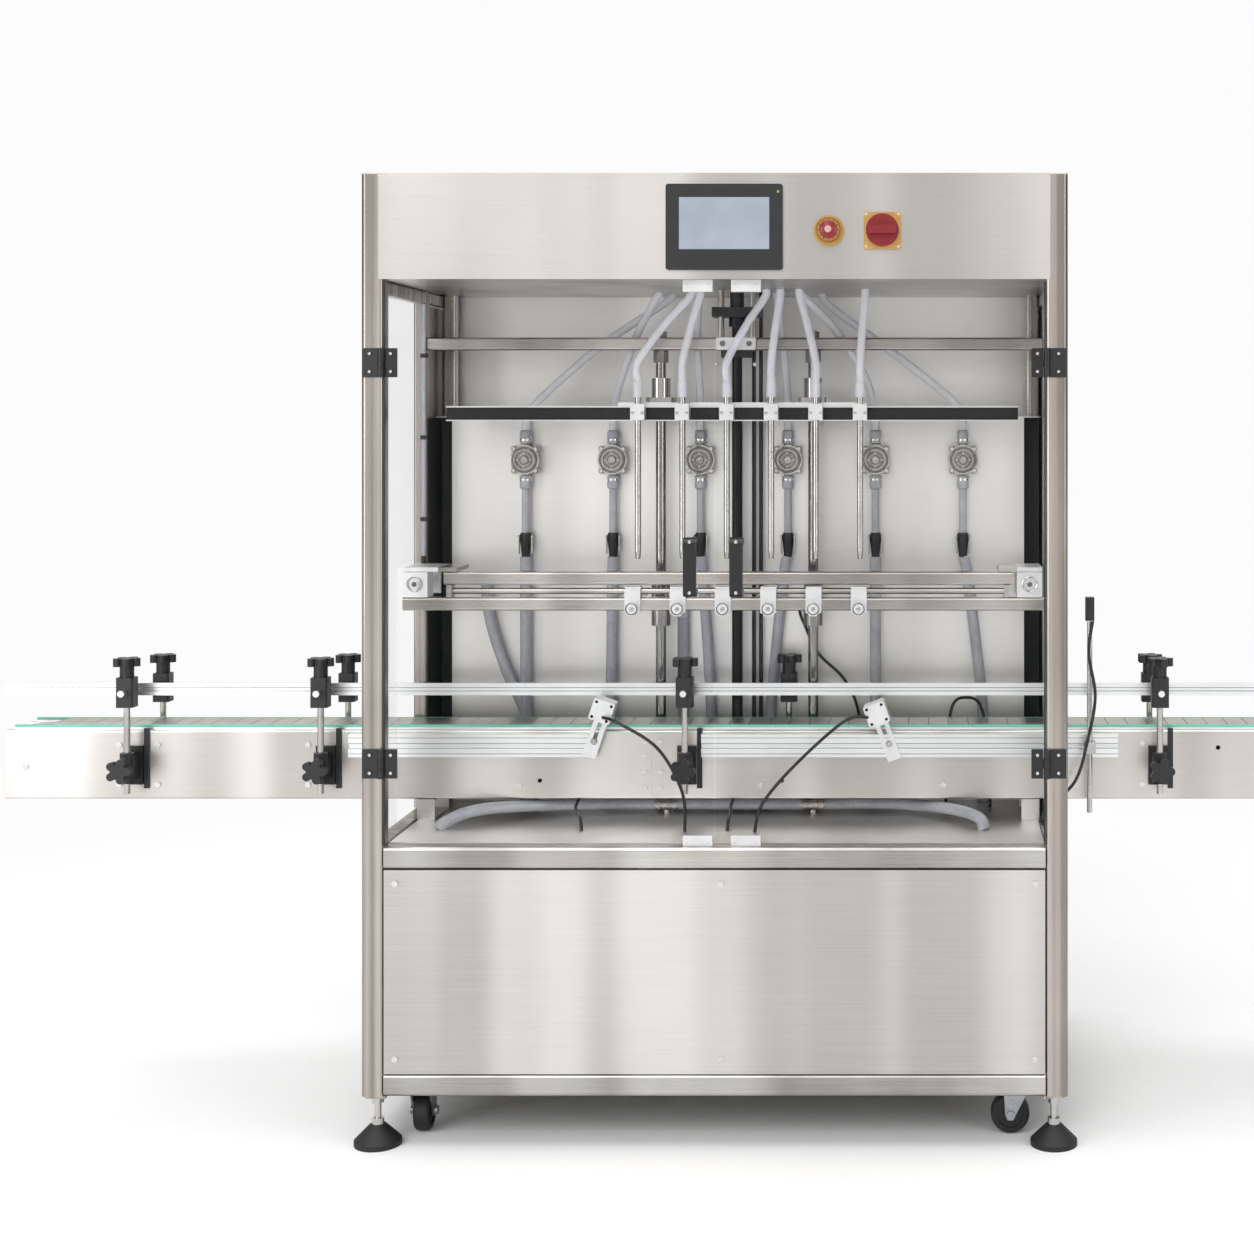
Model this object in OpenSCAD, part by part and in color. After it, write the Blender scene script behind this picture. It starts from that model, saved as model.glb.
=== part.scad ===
// Liquid filling machine: a row of nozzles over a slat-chain conveyor.
// Origin: floor level under the centre of the cabinet.
// X runs along the conveyor, -Y faces the operator, Z is up.

/* [Cabinet] */
// Width over the corner posts
cab_w = 1260; // [1240:5:1320]
// Depth over the corner posts
cab_d = 800; // [790:5:860]
// Height of the roof above the floor
cab_h = 1738; // [1730:1:1790]
// Side of the square corner posts
post = 40; // [36:1:44]
// Side of the slim inner posts and bars
slim = 25; // [22:1:28]
// Wall of the frame tubes
tube_wall = 2; // [1.5:0.5:3]
// Height of the frame above the floor
frame_z = 92; // [88:1:104]
// Height of the work deck above the floor
deck_z = 537; // [528:1:542]
// Height of the header box
header_h = 189; // [184:1:200]
// Thickness of the sheet-metal panels
sheet = 2; // [1.5:0.5:3]
// Thickness of the clear doors
door_t = 8; // [6:1:10]

/* [Conveyor] */
// Height of the top of the slats above the floor
belt_z = 717; // [705:1:730]
// Slats on the upper run
top_slats = 68; // [60:2:76]
// Pitch of the slat chain
pitch = 38.1; // [36:0.1:40]
// Width over the two side plates
conv_w = 112.5; // [110:0.5:120]
// Height of the side plates
plate_h = 131; // [125:1:136]
// Thickness of the side plates
plate_t = 3; // [2:0.5:4]
// Clear width between the guide rails
lane_w = 92; // [70:1:92]

/* [Filling] */
// Number of filling nozzles
nozzle_count = 6; // [2:1:6]
// Spacing of the nozzles
nozzle_pitch = 85.8; // [70:0.1:86]
// Outer diameter of a nozzle tube
nozzle_d = 12; // [8:0.5:12]
// Lane centre line behind the cabinet's front plane
lane_back = 291; // [285:1:300]
// Height of the nozzle tips above the floor
tip_z = 1030; // [1020:1:1060]
// Spacing of the pumps
pump_pitch = 174.1; // [160:0.1:178]
// Height of the pump centres above the floor
pump_z = 1219; // [1205:1:1230]
// Diameter of a pump head
pump_d = 59; // [54:1:64]

/* [Feet and casters] */
// Diameter of a levelling foot's pad
foot_d = 84; // [70:1:90]
// Diameter of a levelling foot's stem
stem_d = 12; // [10:1:14]
// Diameter of a caster wheel
wheel_d = 70; // [60:1:72]
// Width of a caster wheel
wheel_w = 28; // [22:1:30]

/* [Hidden] */
$fn = 48;
// Overrun of every cut
over = 1;
// Running fit of a shaft in its bore, on the radius
fit = 0.05;
// Gap between pieces that are seated on each other
seat = 0.3;
// Gap at the welded joints between frame tubes
weld = 0.2;
// Rounding of a square tube's corners, as a share of its side
corner_share = 0.2;

half_w = cab_w / 2;
half_d = cab_d / 2;
inner_w = half_w - post;
header_z = cab_h - header_h;
ceil_z = header_z + sheet;
roof_z = cab_h - sheet;
top_rail_z = deck_z - post;
door_gap = 3;

// Setbacks behind the cabinet's front plane
lane_to_mid = 4.75;
mid_to_rod = 14;
mid_to_panel = 73;
ledge_depth = 115;
rear_post_in = 40;
pump_to_ledge = 86;
mid_back = lane_back + conv_w / 2 + lane_to_mid;
rod_back = mid_back + mid_to_rod;
panel_back = mid_back + mid_to_panel;
upper_back = panel_back + ledge_depth;
rear_post_back = upper_back - rear_post_in;
ledge_z = pump_z + pump_to_ledge;
panel_side = 58;

// Side windows and their product tunnel
window_t = 6;
tunnel_front = 180;
tunnel_top = 1020;

// Base panels
panel_gap = 0.8;
panel_fold = 15;
inlet_x = -400;
inlet_z = 300;
inlet_bore = 34.8;
inlet_wall = 1.65;
inlet_len = 60;
inlet_flange_d = 50.5;
inlet_flange_t = 2.85;

// Header items
hmi_x = 18;
hmi_drop = 96.5;
hmi_z = cab_h - hmi_drop;
hmi_w = 208;
hmi_h = 153;
hmi_t = 6;
screen_w = 162;
screen_h = 94;
screen_rise = 6.5;
screen_sink = 1.5;
bezel_r = 5;
control_drop = 103;
control_z = cab_h - control_drop;
estop_x = 204;
estop_disc_d = 55;
estop_disc_t = 2;
estop_collar_d = 38;
estop_collar_h = 12;
estop_stem_d = 20;
estop_head_d = 32;
estop_head_h = 14;
estop_travel = 6;
switch_x = 299.4;
switch_plate = 66;
switch_plate_t = 5;
switch_rim_d = 62;
switch_rim_h = 3;
switch_knob_d = 58;
switch_knob_h = 10;
switch_bar_w = 15;
switch_bar_h = 16;
switch_pin_d = 16;

// Doors
door_z0 = deck_z + door_gap;
door_z1 = header_z - door_gap;
door_edge = inner_w - sheet;
door_seam = 2;
hinge_out = 6.5;
hinge_x = inner_w + sheet;
barrel_d = 12;
hinge_pin_d = 6;
leaf_h = 52;
leaf_t = 4;
fixed_leaf_w = 28;
door_leaf_w = 21;
hinge_drop = 149;
hinge_under_belt = 31;
hinge_top_z = header_z - hinge_drop;
hinge_low_z = belt_z - hinge_under_belt;
leaf_gap = 0.6;
handle_x = 41;
handle_w = 23;
handle_h = 105;
handle_out = 30;
handle_t = 9;
handle_foot = 14;
handle_r = 10;
handle_low = 985;
strike_w = 53;
strike_h = 16;
strike_t = 2;
strike_x = [-31, 55];
catch_t = 14;

// Nozzle lift
lift_x = 4;
rod_span = 300;
rod_d = 20;
stud_d = 12;
rod_nut_d = 30;
rod_nut_h = 12;
collar_d = 37;
collar_h = 83;
collar_z = 894;
cross_drop = 114;
cross_z = header_z - cross_drop;
block_w = 78;
block_d = 50;
standoff_d = 8;
standoff_dx = 31;
standoff_dy = 19;
screw_d = 20;
bearing_plate_w = 60;
bearing_plate_t = 14;
coupling_d = 33;
coupling_h = 18;
motor_plate_w = 94;
motor_plate_d = 56;
motor_plate_t = 19;
motor_rise = 40;
plate_share = 0.7;
hex_share = 0.8;
motor_neck_d = 27;
motor_body = 86;
motor_body_h = 110;

// Carriage
beam_low = 1296;
beam_h = 29;
beam_d = 30;
beam_end = 75;
beam_lip = 4;
beam_groove = 5;
lane_to_beam = 17;
beam_back = lane_back + lane_to_beam;
plate_x = [-208, 249];
carriage_plate_t = 7;
rod_to_carriage = 20;
carriage_back = rod_back + rod_to_carriage;
clamp_rise = 2;
bearing_d = 38;
bearing_h = 38;
bearing_flange_d = 60;
bearing_flange_t = 10;
nut_d = 34;
nut_h = 24;
clamp_w = 27;
clamp_h = 31;
clamp_d = 28;
clamp_slot = 2;
nozzle_x0 = -180;
nozzle_bore = 9;
nozzle_tip_h = 14;
nozzle_tip_d = 9.6;
cuff_d = 19;
cuff_h = 33;
cuff_z = 1342;
cuff_share = 0.8;

// Neck locator
neck_z = 936;
neck_to_lane = 66;
neck_front = lane_back - neck_to_lane;
neck_end = 13;
guide_w = 48;
guide_d = 45;
block_in = [23, 44];
shaft_d = 16;
shaft_rise = 25;
shaft_ends = [-3.5, 97.5];
boss_d = 27;
slide_bar_rise = 49;
slide_bar_in = 78;
top_plate_t = 8;
cheek_t = 8;
fork_rod_d = 12;
fork_rod_z = 966.5;
fork_lug_t = 10;
fork_w = 30;
fork_h = 14;
fork_plate_w = 44;
fork_plate_t = 5;
fork_notch = 32;
fork_front_t = 6;
fork_drop = 44;
fork_knob_d = 27;
fork_knob_t = 12;
fork_knob_share = 0.6;
lug_grip_share = 0.45;

// Pumps
pump_count = 6;
pump_x0 = -421;
pump_depth = 35;
pump_ear_r = 37;
pump_ear_d = 13;
pump_port_d = 16;
pump_port_h = 31;
pump_cap_d = 34;
pump_cap_t = 5;
pump_spigot_d = 20;
pump_spigot = 12;
pump_motor_d = 62;
pump_motor_l = 100;
sleeve_d = 24;
sleeve_len = 28;
hose_d = 15.5;
feed_hose_d = 22;
quick_d = 23;
quick_h = 48;
quick_z = 1026;
// Outline of a quick coupling: shares of its diameter and of its height
quick_shares = [[0, 0], [0.36, 0], [0.36, 0.12], [0.5, 0.75], [0.5, 0.9], [0.42, 1], [0, 1]];
pump_line = panel_back - pump_depth / 2;

// Chain and sprockets
teeth = 9;
wrap_slats = (teeth - 1) / 2;
wrap_step = 360 / teeth;
pin_r = pitch / (2 * sin(180 / teeth));
chord_r = pin_r * cos(180 / teeth);
slat_drop = 10;
slat_t = 4;
slat_gap = 1.5;
strip_w = 7;
strip_h = 9;
strip_in = 7.25;
slat_clear = 0.75;
slat_w = conv_w - 2 * (strip_in + strip_w + slat_clear);
tongue_w = 34;
eye_d = 11.4;
pin_z = belt_z - slat_drop;
sprocket_z = pin_z - pin_r;
sprocket_x = top_slats * pitch / 2;
sprocket_d = 92;
sprocket_w = 24;
tooth_notch_d = 14;
conv_end = 79.6;
conv_half = sprocket_x + conv_end;
plate_top = belt_z - strip_h;
plate_low = plate_top - plate_h;
flange_w = 15;
plate_r = 4;
conv_front = lane_back - conv_w / 2;
conv_rear = lane_back + conv_w / 2;
splice_x = -145;
splice_gap = 0.4;
plate_hole_d = 8.5;
plate_holes = [[-358, 96], [102, 96], [932, 33]];
axle_d = 25;
bearing_ring_d = 50;
bearing_ring_t = 10;
cross_bar_w = 30;
cross_bar_t = 8;
cross_bar_drop = 35;
cross_bars = 7;
carry_w = 8;
support_in = 55;
support_w = 34;
gearbox = [110, 70, 96];
gear_motor_d = 76.8;
gear_motor_l = 180;
gear_flange_d = 91.5;
gear_flange_t = 9;
drive_reach_share = 0.7;
drive_bore_share = 0.75;
gear_motor_out = 14.4;

// Profiles, guide rails and their brackets
profile_h = 43;
profile_t = 20;
profile_drop = 5;
profile_groove = 8;
profile_groove_in = 6;
profiles = [[-717, -263], [-49, 740]];
rail_h = 23;
rail_t = 8;
rail_rise = 57;
rear_rail_drop = 14;
rail_slot = 6;
rail_end = 5;
front_posts = [-1129, -764, -78, 817];
rear_posts = [-1129, -764, 106, 817];
post_rod_d = 12;
front_post_out = 35;
rear_post_out = 25;
rail_block_w = 32;
rail_block_d = 30;
rail_block_h = 56;
star_d = 50;
star_t = 15;
star_stem_d = 26;
star_stem_h = 22;
bracket_w = 36;
bracket_h = 73;
bracket_t = 8;
bracket_drop = 102;
bracket_barrel_d = 26;
bracket_knob_d = 48;
bracket_knob_t = 16;
bracket_stem_d = 14;
bracket_stem_l = 16;
slot_bar_w = 10;
slot_bar_h = 114;
slot_bar_t = 3;

// Bottle gates, photo-eye
gate_x = [-230, 284];
gate_rise = [36, 30.5];
gate_tilt = [19, -20];
gate_body = 41;
gate_depth = 41;
gate_plate_w = 26;
gate_plate_l = 98;
gate_plate_t = 3;
gate_slot_w = 8;
gate_nose_d = 20;
gate_nose_l = 24;
gate_rod_d = 10;
eye_x = 685;
eye_rod_d = 10;
eye_z = [559, 964];
eye_out = 35;
eye_head_w = 16;
eye_head_d = 24;
eye_head_h = 44;
eye_clamp = 22;

// Feet and casters
foot_in = 24;
foot_rim_h = 9;
foot_cone_d = 30;
foot_cone_z = 36;
foot_nut_d = 22;
foot_nut_h = 12;
foot_plate = 36;
foot_plate_t = 5;
stem_top = 60;
caster_x = 540;
caster_in = 83;
caster_trail = 10;
caster_lift = 2;
caster_seat_w = 86;
caster_seat_t = 5;
king_d = 12;
race_d = 44;
race_h = 8;
fork_side_t = 4;
fork_gap = 1.5;
caster_axle_d = 8;
axle_nut_d = 16;
axle_nut_t = 5;
// Rounded lower end of a fork side, in shares of the axle nut
fork_end_shares = [[0.6, 0], [0.3, -0.6], [-0.3, -0.6], [-0.6, 0]];
hub_d = 24;

// Y of a place that lies a setback behind the front plane
function back(s) = s - half_d;

// X of a nozzle and of a pump
function nozzle_x(i) = nozzle_x0 + i * nozzle_pitch;
function pump_x(i) = pump_x0 + i * pump_pitch;

// Block between two places on each axis
module span(x, y, z) {
    translate([x[0], y[0], z[0]]) cube([x[1] - x[0], y[1] - y[0], z[1] - z[0]]);
}

// Cylinders along the three axes
module along_x(d, x, y, z) {
    translate([x[0], y, z]) rotate([0, 90, 0]) cylinder(d = d, h = x[1] - x[0]);
}
module along_y(d, x, y, z) {
    translate([x, y[0], z]) rotate([-90, 0, 0]) cylinder(d = d, h = y[1] - y[0]);
}
module along_z(d, x, y, z) {
    translate([x, y, z[0]]) cylinder(d = d, h = z[1] - z[0]);
}

// The children and their mirror image across the middle plane
module both_x() {
    children();
    mirror([1, 0, 0]) children();
}

// Rectangle with round corners, centred
module round_rect(w, h, r) {
    square([w - 2 * r, h], center = true);
    square([w, h - 2 * r], center = true);
    for (x = [-1, 1], y = [-1, 1])
        translate([x * (w / 2 - r), y * (h / 2 - r)]) circle(r = r);
}

// Square tube section, centred
module tube_section(side) {
    difference() {
        round_rect(side, side, side * corner_share);
        round_rect(side - 2 * tube_wall, side - 2 * tube_wall,
            max(side * corner_share - tube_wall, tube_wall / 4));
    }
}

// Square tubes along the three axes, from one end to the other, on their centre line
module tube_x(side, x, y, z) {
    translate([x[0], y, z]) rotate([0, 90, 0]) linear_extrude(x[1] - x[0]) tube_section(side);
}
module tube_y(side, x, y, z) {
    translate([x, y[0], z]) rotate([-90, 0, 0]) linear_extrude(y[1] - y[0]) tube_section(side);
}
module tube_z(side, x, y, z) {
    translate([x, y, z[0]]) linear_extrude(z[1] - z[0]) tube_section(side);
}

// Round hose or cable that follows a route of points; its ends are cut square to the given headings
hose_sides = 10;
cable_sides = 8;
function unit(v) = v / norm(v);
function heading(p, i, first, last) = i == 0 ? (is_undef(first) ? unit(p[1] - p[0]) : first)
    : i == len(p) - 1 ? (is_undef(last) ? unit(p[i] - p[i - 1]) : last)
    : unit(unit(p[i + 1] - p[i]) + unit(p[i] - p[i - 1]));
up = [0, 0, 1];
down = [0, 0, -1];
right = [1, 0, 0];
outward = [0, -1, 0];
function side_of(t) = abs(t[1]) > 0.9 ? unit(cross(t, [1, 0, 0])) : unit(cross(t, [0, 1, 0]));
function carried(t, u, i) = i == len(t) ? []
    : let (w = unit(u - (u * t[i]) * t[i])) concat([w], carried(t, w, i + 1));
module swept(p, d, sides, first, last) {
    t = [for (i = [0:len(p) - 1]) heading(p, i, first, last)];
    u = carried(t, side_of(t[0]), 0);
    rings = [for (i = [0:len(p) - 1], k = [0:sides - 1])
        p[i] + d / 2 * (cos(360 * k / sides) * u[i] + sin(360 * k / sides) * cross(t[i], u[i]))];
    walls = [for (i = [0:len(p) - 2], k = [0:sides - 1]) let (n = (k + 1) % sides)
        [i * sides + k, i * sides + n, (i + 1) * sides + n, (i + 1) * sides + k]];
    caps = [[for (k = [sides - 1:-1:0]) k], [for (k = [0:sides - 1]) (len(p) - 1) * sides + k]];
    polyhedron(points = rings, faces = [for (f = concat(walls, caps)) [for (k = [len(f) - 1:-1:0]) f[k]]]);
}
// Smooth course through a few chosen points, with steps between each pair
function smooth(p, steps) = concat([for (i = [0:len(p) - 2], s = [0:steps - 1])
    let (a = p[max(i - 1, 0)], b = p[i], c = p[i + 1], e = p[min(i + 2, len(p) - 1)], t = s / steps)
    (2 * b + (c - a) * t + (2 * a - 5 * b + 4 * c - e) * t * t + (3 * b - a - 3 * c + e) * t * t * t) / 2],
    [p[len(p) - 1]]);

// Cabinet frame: separate tubes with a welded joint between them
module frame() color("silver") {
    both_x() {
        for (y = [-1, 1])
            tube_z(post, half_w - post / 2, y * (half_d - post / 2), [frame_z, roof_z - weld]);
        for (z = [frame_z + post / 2, top_rail_z + post / 2])
            tube_y(post, half_w - post / 2, [post + weld - half_d, half_d - post - weld], z);
        mid_post();
        tube_z(slim, half_w - slim * 1.5, back(rear_post_back), [ledge_z + weld, ceil_z - weld]);
        tube_y(slim, half_w - slim / 2, [back(post + weld), back(mid_back - weld)], ceil_z - slim / 2);
        tube_y(slim, half_w - slim / 2, [back(mid_back + slim + weld), half_d - post - weld],
            ceil_z - slim / 2);
        caster_seats();
        foot_plates();
    }
    for (y = [-1, 1], z = [frame_z + post / 2, top_rail_z + post / 2, roof_z - weld - post / 2])
        tube_x(post, [weld - inner_w, inner_w - weld], y * (half_d - post / 2), z);
}
module mid_post() {
    tube_z(slim, half_w - slim / 2, back(mid_back + slim / 2), [deck_z + weld, ceil_z - weld]);
}
module caster_seats() {
    for (y = [-1, 1])
        difference() {
            span([caster_x - caster_seat_w / 2, inner_w - weld],
                [y * (half_d - caster_in) - caster_seat_w / 2, y * (half_d - caster_in) + caster_seat_w / 2],
                [frame_z, frame_z + caster_seat_t]);
            translate([caster_x, y * (half_d - caster_in), frame_z - over])
                cylinder(d = king_d + 2 * fit, h = caster_seat_t + 2 * over);
        }
}
module foot_plates() {
    for (y = [-1, 1])
        translate([half_w - foot_in, y * (half_d - foot_in), frame_z - weld - foot_plate_t])
            linear_extrude(foot_plate_t) difference() {
                square(foot_plate, center = true);
                circle(d = stem_d + 2 * fit);
            }
}

// Header box of folded sheets, with its ceiling
module header_box() color("silver") {
    difference() {
        span([-inner_w - sheet * 4, inner_w + sheet * 4], [-half_d - weld - sheet, -half_d - weld],
            [header_z, cab_h]);
        for (x = [estop_x, switch_x])
            along_y(switch_pin_d, x, [-half_d - 2 * sheet, -half_d + over], control_z);
    }
    span([-inner_w, inner_w], [-half_d, back(post) - weld], [header_z, header_z + sheet - weld]);
    span([-half_w, half_w], [-half_d, half_d], [roof_z, cab_h]);
    both_x() span([half_w - sheet, half_w], [back(post) + weld, half_d - post - weld],
        [ceil_z + sheet + weld, roof_z - weld]);
    span([weld - inner_w, inner_w - weld], [half_d - post / 2 - sheet, half_d - post / 2],
        [ceil_z + sheet + weld, roof_z - post - 2 * weld]);
    difference() {
        span([-half_w, half_w], [back(post) + weld, half_d - post - weld], [ceil_z, ceil_z + sheet]);
        along_z(motor_neck_d + 2 * seat, lift_x, back(rod_back), [ceil_z - over, ceil_z + sheet + over]);
    }
}

// Tray-shaped panel with folded edges, drawn in X and Z with its face at Y 0
module tray(w, h, fold) {
    translate([-w / 2, 0, 0]) difference() {
        cube([w, fold, h]);
        translate([sheet, sheet, sheet]) cube([w - 2 * sheet, fold, h - 2 * sheet]);
    }
}
module cabinet_panels() color("gainsboro") {
    base_z = frame_z + post + panel_gap;
    base_h = top_rail_z - base_z - panel_gap;
    base_w = 2 * (inner_w - panel_gap);
    side_w = cab_d - 2 * (post + panel_gap);
    wall_z = deck_z + panel_gap;
    translate([0, -half_d, base_z]) tray(base_w, base_h, panel_fold);
    for (a = [90, -90])
        rotate([0, 0, a]) translate([0, -half_w, base_z]) tray(side_w, base_h, panel_fold);
    difference() {
        translate([0, half_d, base_z]) rotate([0, 0, 180]) tray(base_w, base_h, panel_fold);
        along_y(inlet_bore + 2 * inlet_wall, inlet_x, [half_d - panel_fold - over, half_d + over], inlet_z);
    }
    rear_w = 2 * (inner_w - panel_gap);
    translate([0, half_d, wall_z]) rotate([0, 0, 180])
        tray(rear_w, ceil_z - wall_z - panel_gap, panel_fold);
    both_x() span([half_w - slim / 2 - sheet, half_w - slim / 2],
        [back(mid_back + slim + panel_gap), half_d - post - panel_gap], [wall_z, ceil_z - slim - panel_gap]);
    inlet_ferrule();
}
module inlet_ferrule() {
    outer = inlet_bore + 2 * inlet_wall;
    translate([inlet_x, half_d + inlet_len / 2, inlet_z]) rotate([90, 0, 0]) rotate_extrude() {
        translate([inlet_bore / 2, 0]) square([inlet_wall, inlet_len]);
        translate([inlet_bore / 2, 0]) square([(inlet_flange_d - inlet_bore) / 2, inlet_flange_t]);
        translate([outer / 2 - inlet_wall / 2, inlet_len / 2 + seat]) square([inlet_wall * 2, inlet_wall]);
    }
}

// Clear side windows: a low pane before the product tunnel and a pane above it
module side_windows() color("lightcyan", 0.3) both_x() {
    x = [half_w - slim / 2 - window_t / 2, half_w - slim / 2 + window_t / 2];
    front = back(post + seat);
    span(x, [front, back(tunnel_front)], [deck_z + seat, tunnel_top - weld]);
    span(x, [front, back(mid_back - seat)], [tunnel_top, ceil_z - slim - seat]);
}

// Back wall: pump panel, ledge and upper wall
module pump_panel() color("gainsboro") {
    difference() {
        span([panel_side - half_w, half_w - panel_side], [back(panel_back), back(panel_back + sheet)],
            [deck_z + seat, ledge_z]);
        for (i = [0:pump_count - 1])
            along_y(pump_spigot_d + 2 * seat, pump_x(i),
                [back(panel_back) - over, back(panel_back + sheet) + over], pump_z);
    }
    span([-half_w + slim, half_w - slim], [back(panel_back + sheet) + weld, back(upper_back) - weld],
        [ledge_z - sheet, ledge_z]);
    span([-half_w + slim, half_w - slim], [back(upper_back), back(upper_back + sheet)],
        [ledge_z, ceil_z - seat]);
}
module work_deck() color("gainsboro") {
    span([seat - inner_w, inner_w - seat], [back(post + seat), half_d - post - seat],
        [deck_z - sheet, deck_z]);
}

// Operator panel and controls on the header
module hmi() color("dimgray") {
    face = -half_d - weld - sheet;
    difference() {
        translate([hmi_x, face, hmi_z]) rotate([90, 0, 0]) linear_extrude(hmi_t)
            round_rect(hmi_w, hmi_h, bezel_r);
        translate([hmi_x - screen_w / 2, face - hmi_t - over, hmi_z + screen_rise - screen_h / 2])
            cube([screen_w, screen_sink + over, screen_h]);
    }
}
module control_plates() color("gold") {
    face = -half_d - weld - sheet;
    difference() {
        union() {
            along_y(estop_disc_d, estop_x, [face - estop_disc_t, face], control_z);
            along_y(estop_collar_d, estop_x, [face - estop_disc_t - estop_collar_h, face - estop_disc_t],
                control_z);
        }
        along_y(estop_stem_d + 2 * fit, estop_x, [face - estop_disc_t - estop_collar_h - over, face + over],
            control_z);
    }
    difference() {
        union() {
            translate([switch_x, face, control_z]) rotate([90, 0, 0]) linear_extrude(switch_plate_t)
                round_rect(switch_plate, switch_plate, bezel_r);
            along_y(switch_rim_d, switch_x, [face - switch_plate_t - switch_rim_h, face - switch_plate_t],
                control_z);
        }
        along_y(switch_pin_d + 2 * fit, switch_x, [face - switch_plate_t - switch_rim_h - over, face + over],
            control_z);
    }
}
module estop_button() color("firebrick") {
    face = -half_d - weld - sheet - estop_disc_t - estop_collar_h;
    head = face - estop_travel - seat;
    along_y(estop_stem_d, estop_x, [head - over, face + estop_travel / 2], control_z);
    translate([estop_x, head, control_z]) rotate([90, 0, 0]) rotate_extrude() intersection() {
        square([estop_head_d / 2, estop_head_h]);
        translate([0, -estop_head_d / 2]) circle(r = estop_head_d / 2 + estop_head_h);
    }
}
module switch_knob() color("firebrick") {
    face = -half_d - weld - sheet - switch_plate_t - switch_rim_h;
    disc = face - seat;
    along_y(switch_knob_d, switch_x, [disc - switch_knob_h, disc], control_z);
    along_y(switch_pin_d, switch_x, [disc - over, face + switch_rim_h], control_z);
    translate([switch_x, disc - switch_knob_h, control_z]) rotate([90, 0, 0]) linear_extrude(switch_bar_h)
        round_rect(switch_knob_d - switch_bar_w / 2, switch_bar_w, switch_bar_w / 3);
}

// Hinge leaf at one height: a plate beside the barrel and its share of the knuckles
module leaf(z, x0, w, knuckles, bored) {
    third = leaf_h / 3;
    y1 = -half_d - fit * 2;
    difference() {
        union() {
            span([min(x0, x0 + w), max(x0, x0 + w)], [y1 - leaf_t, y1], [z - leaf_h / 2, z + leaf_h / 2]);
            for (k = knuckles) {
                z0 = z - leaf_h / 2 + k * third;
                along_z(barrel_d, hinge_x, -half_d - hinge_out, [z0 + seat, z0 + third - seat]);
                span([min(hinge_x, x0 + w / 2), max(hinge_x, x0 + w / 2)], [y1 - leaf_t, y1],
                    [z0 + seat, z0 + third - seat]);
            }
        }
        for (k = [0:2])
            if (len(search(k, knuckles)) == 0)
                along_z(barrel_d + 4 * seat, hinge_x, -half_d - hinge_out,
                    [z - leaf_h / 2 + k * third - over * (k == 0 ? 1 : 0),
                        z - leaf_h / 2 + (k + 1) * third + over * (k == 2 ? 1 : 0)]);
        if (bored)
            along_z(hinge_pin_d + 2 * fit, hinge_x, -half_d - hinge_out, [z - leaf_h, z + leaf_h]);
    }
}
leaf_start = barrel_d / 2 + leaf_gap;
module door_hinges() color("dimgray") {
    both_x() {
        for (z = [hinge_top_z, hinge_low_z]) {
            leaf(z, hinge_x + leaf_start, fixed_leaf_w, [0, 2], false);
            along_z(hinge_pin_d, hinge_x, -half_d - hinge_out,
                [z - leaf_h / 2 + seat, z + leaf_h / 2 - seat]);
        }
    }
    for (x = strike_x) {
        catch_y = [-half_d + door_t + strike_t + seat, -half_d + door_t + strike_t + seat + catch_t];
        span([x - strike_w / 2, x + strike_w / 2], catch_y,
            [header_z - strike_h - 2 * door_gap, header_z - seat]);
        span([x - strike_w / 2, x + strike_w / 2], catch_y, [deck_z + seat, deck_z + strike_h]);
    }
}

// Clear door, drawn on the right side
module door_pane() {
    span([door_seam, door_edge], [-half_d, -half_d + door_t], [door_z0, door_z1]);
}
module door_fittings(side) {
    for (z = [hinge_top_z, hinge_low_z])
        leaf(z, hinge_x - leaf_start, -door_leaf_w, [1], true);
    handle();
    x = side < 0 ? -strike_x[0] : strike_x[1];
    for (z = [door_z0 + door_gap, door_z1 - strike_h - door_gap])
        span([x - strike_w / 2, x + strike_w / 2],
            [-half_d + door_t + fit, -half_d + door_t + strike_t], [z, z + strike_h - door_gap]);
}
// Bow handle: a swept strip with a finger gap behind it
module handle() {
    mid = handle_low + handle_h / 2;
    translate([handle_x + handle_w / 2, -half_d - fit, mid]) rotate([0, -90, 0]) linear_extrude(handle_w)
        difference() {
            translate([0, -handle_out / 2]) round_rect(handle_h, handle_out, handle_r);
            translate([0, (handle_t + over - handle_out) / 2])
                square([handle_h - 2 * handle_foot, handle_out - handle_t + over], center = true);
        }
}
module door_left() color("lightcyan", 0.3) mirror([1, 0, 0]) door_pane();
module door_right() color("lightcyan", 0.3) door_pane();
module door_left_fittings() color("dimgray") mirror([1, 0, 0]) door_fittings(-1);
module door_right_fittings() color("dimgray") door_fittings(1);

// Cross bar with the bearing block of the lift screw, and its hangers
module lift_crossbar() color("lightgray") {
    y = back(mid_back + slim / 2);
    z = cross_z + slim / 2;
    x_end = half_w - slim - weld;
    difference() {
        union() {
            tube_x(slim, [-x_end, lift_x - block_w / 2 - weld], y, z);
            tube_x(slim, [lift_x + block_w / 2 + weld, x_end], y, z);
        }
        for (s = [-1, 1])
            along_z(stud_d + 2 * fit, lift_x + s * rod_span / 2, back(rod_back),
                [cross_z - over, cross_z + slim + over]);
    }
    difference() {
        span([lift_x - block_w / 2, lift_x + block_w / 2],
            [back(rod_back) - block_d / 2, back(rod_back) + block_d / 2], [cross_z, cross_z + slim]);
        along_z(screw_d + 2 * fit, lift_x, back(rod_back), [cross_z - over, cross_z + slim + over]);
    }
    for (sx = [-1, 1], sy = [-1, 1])
        along_z(standoff_d, lift_x + sx * standoff_dx, back(rod_back) + sy * standoff_dy,
            [cross_z + slim + fit, ceil_z - fit]);
}
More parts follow.
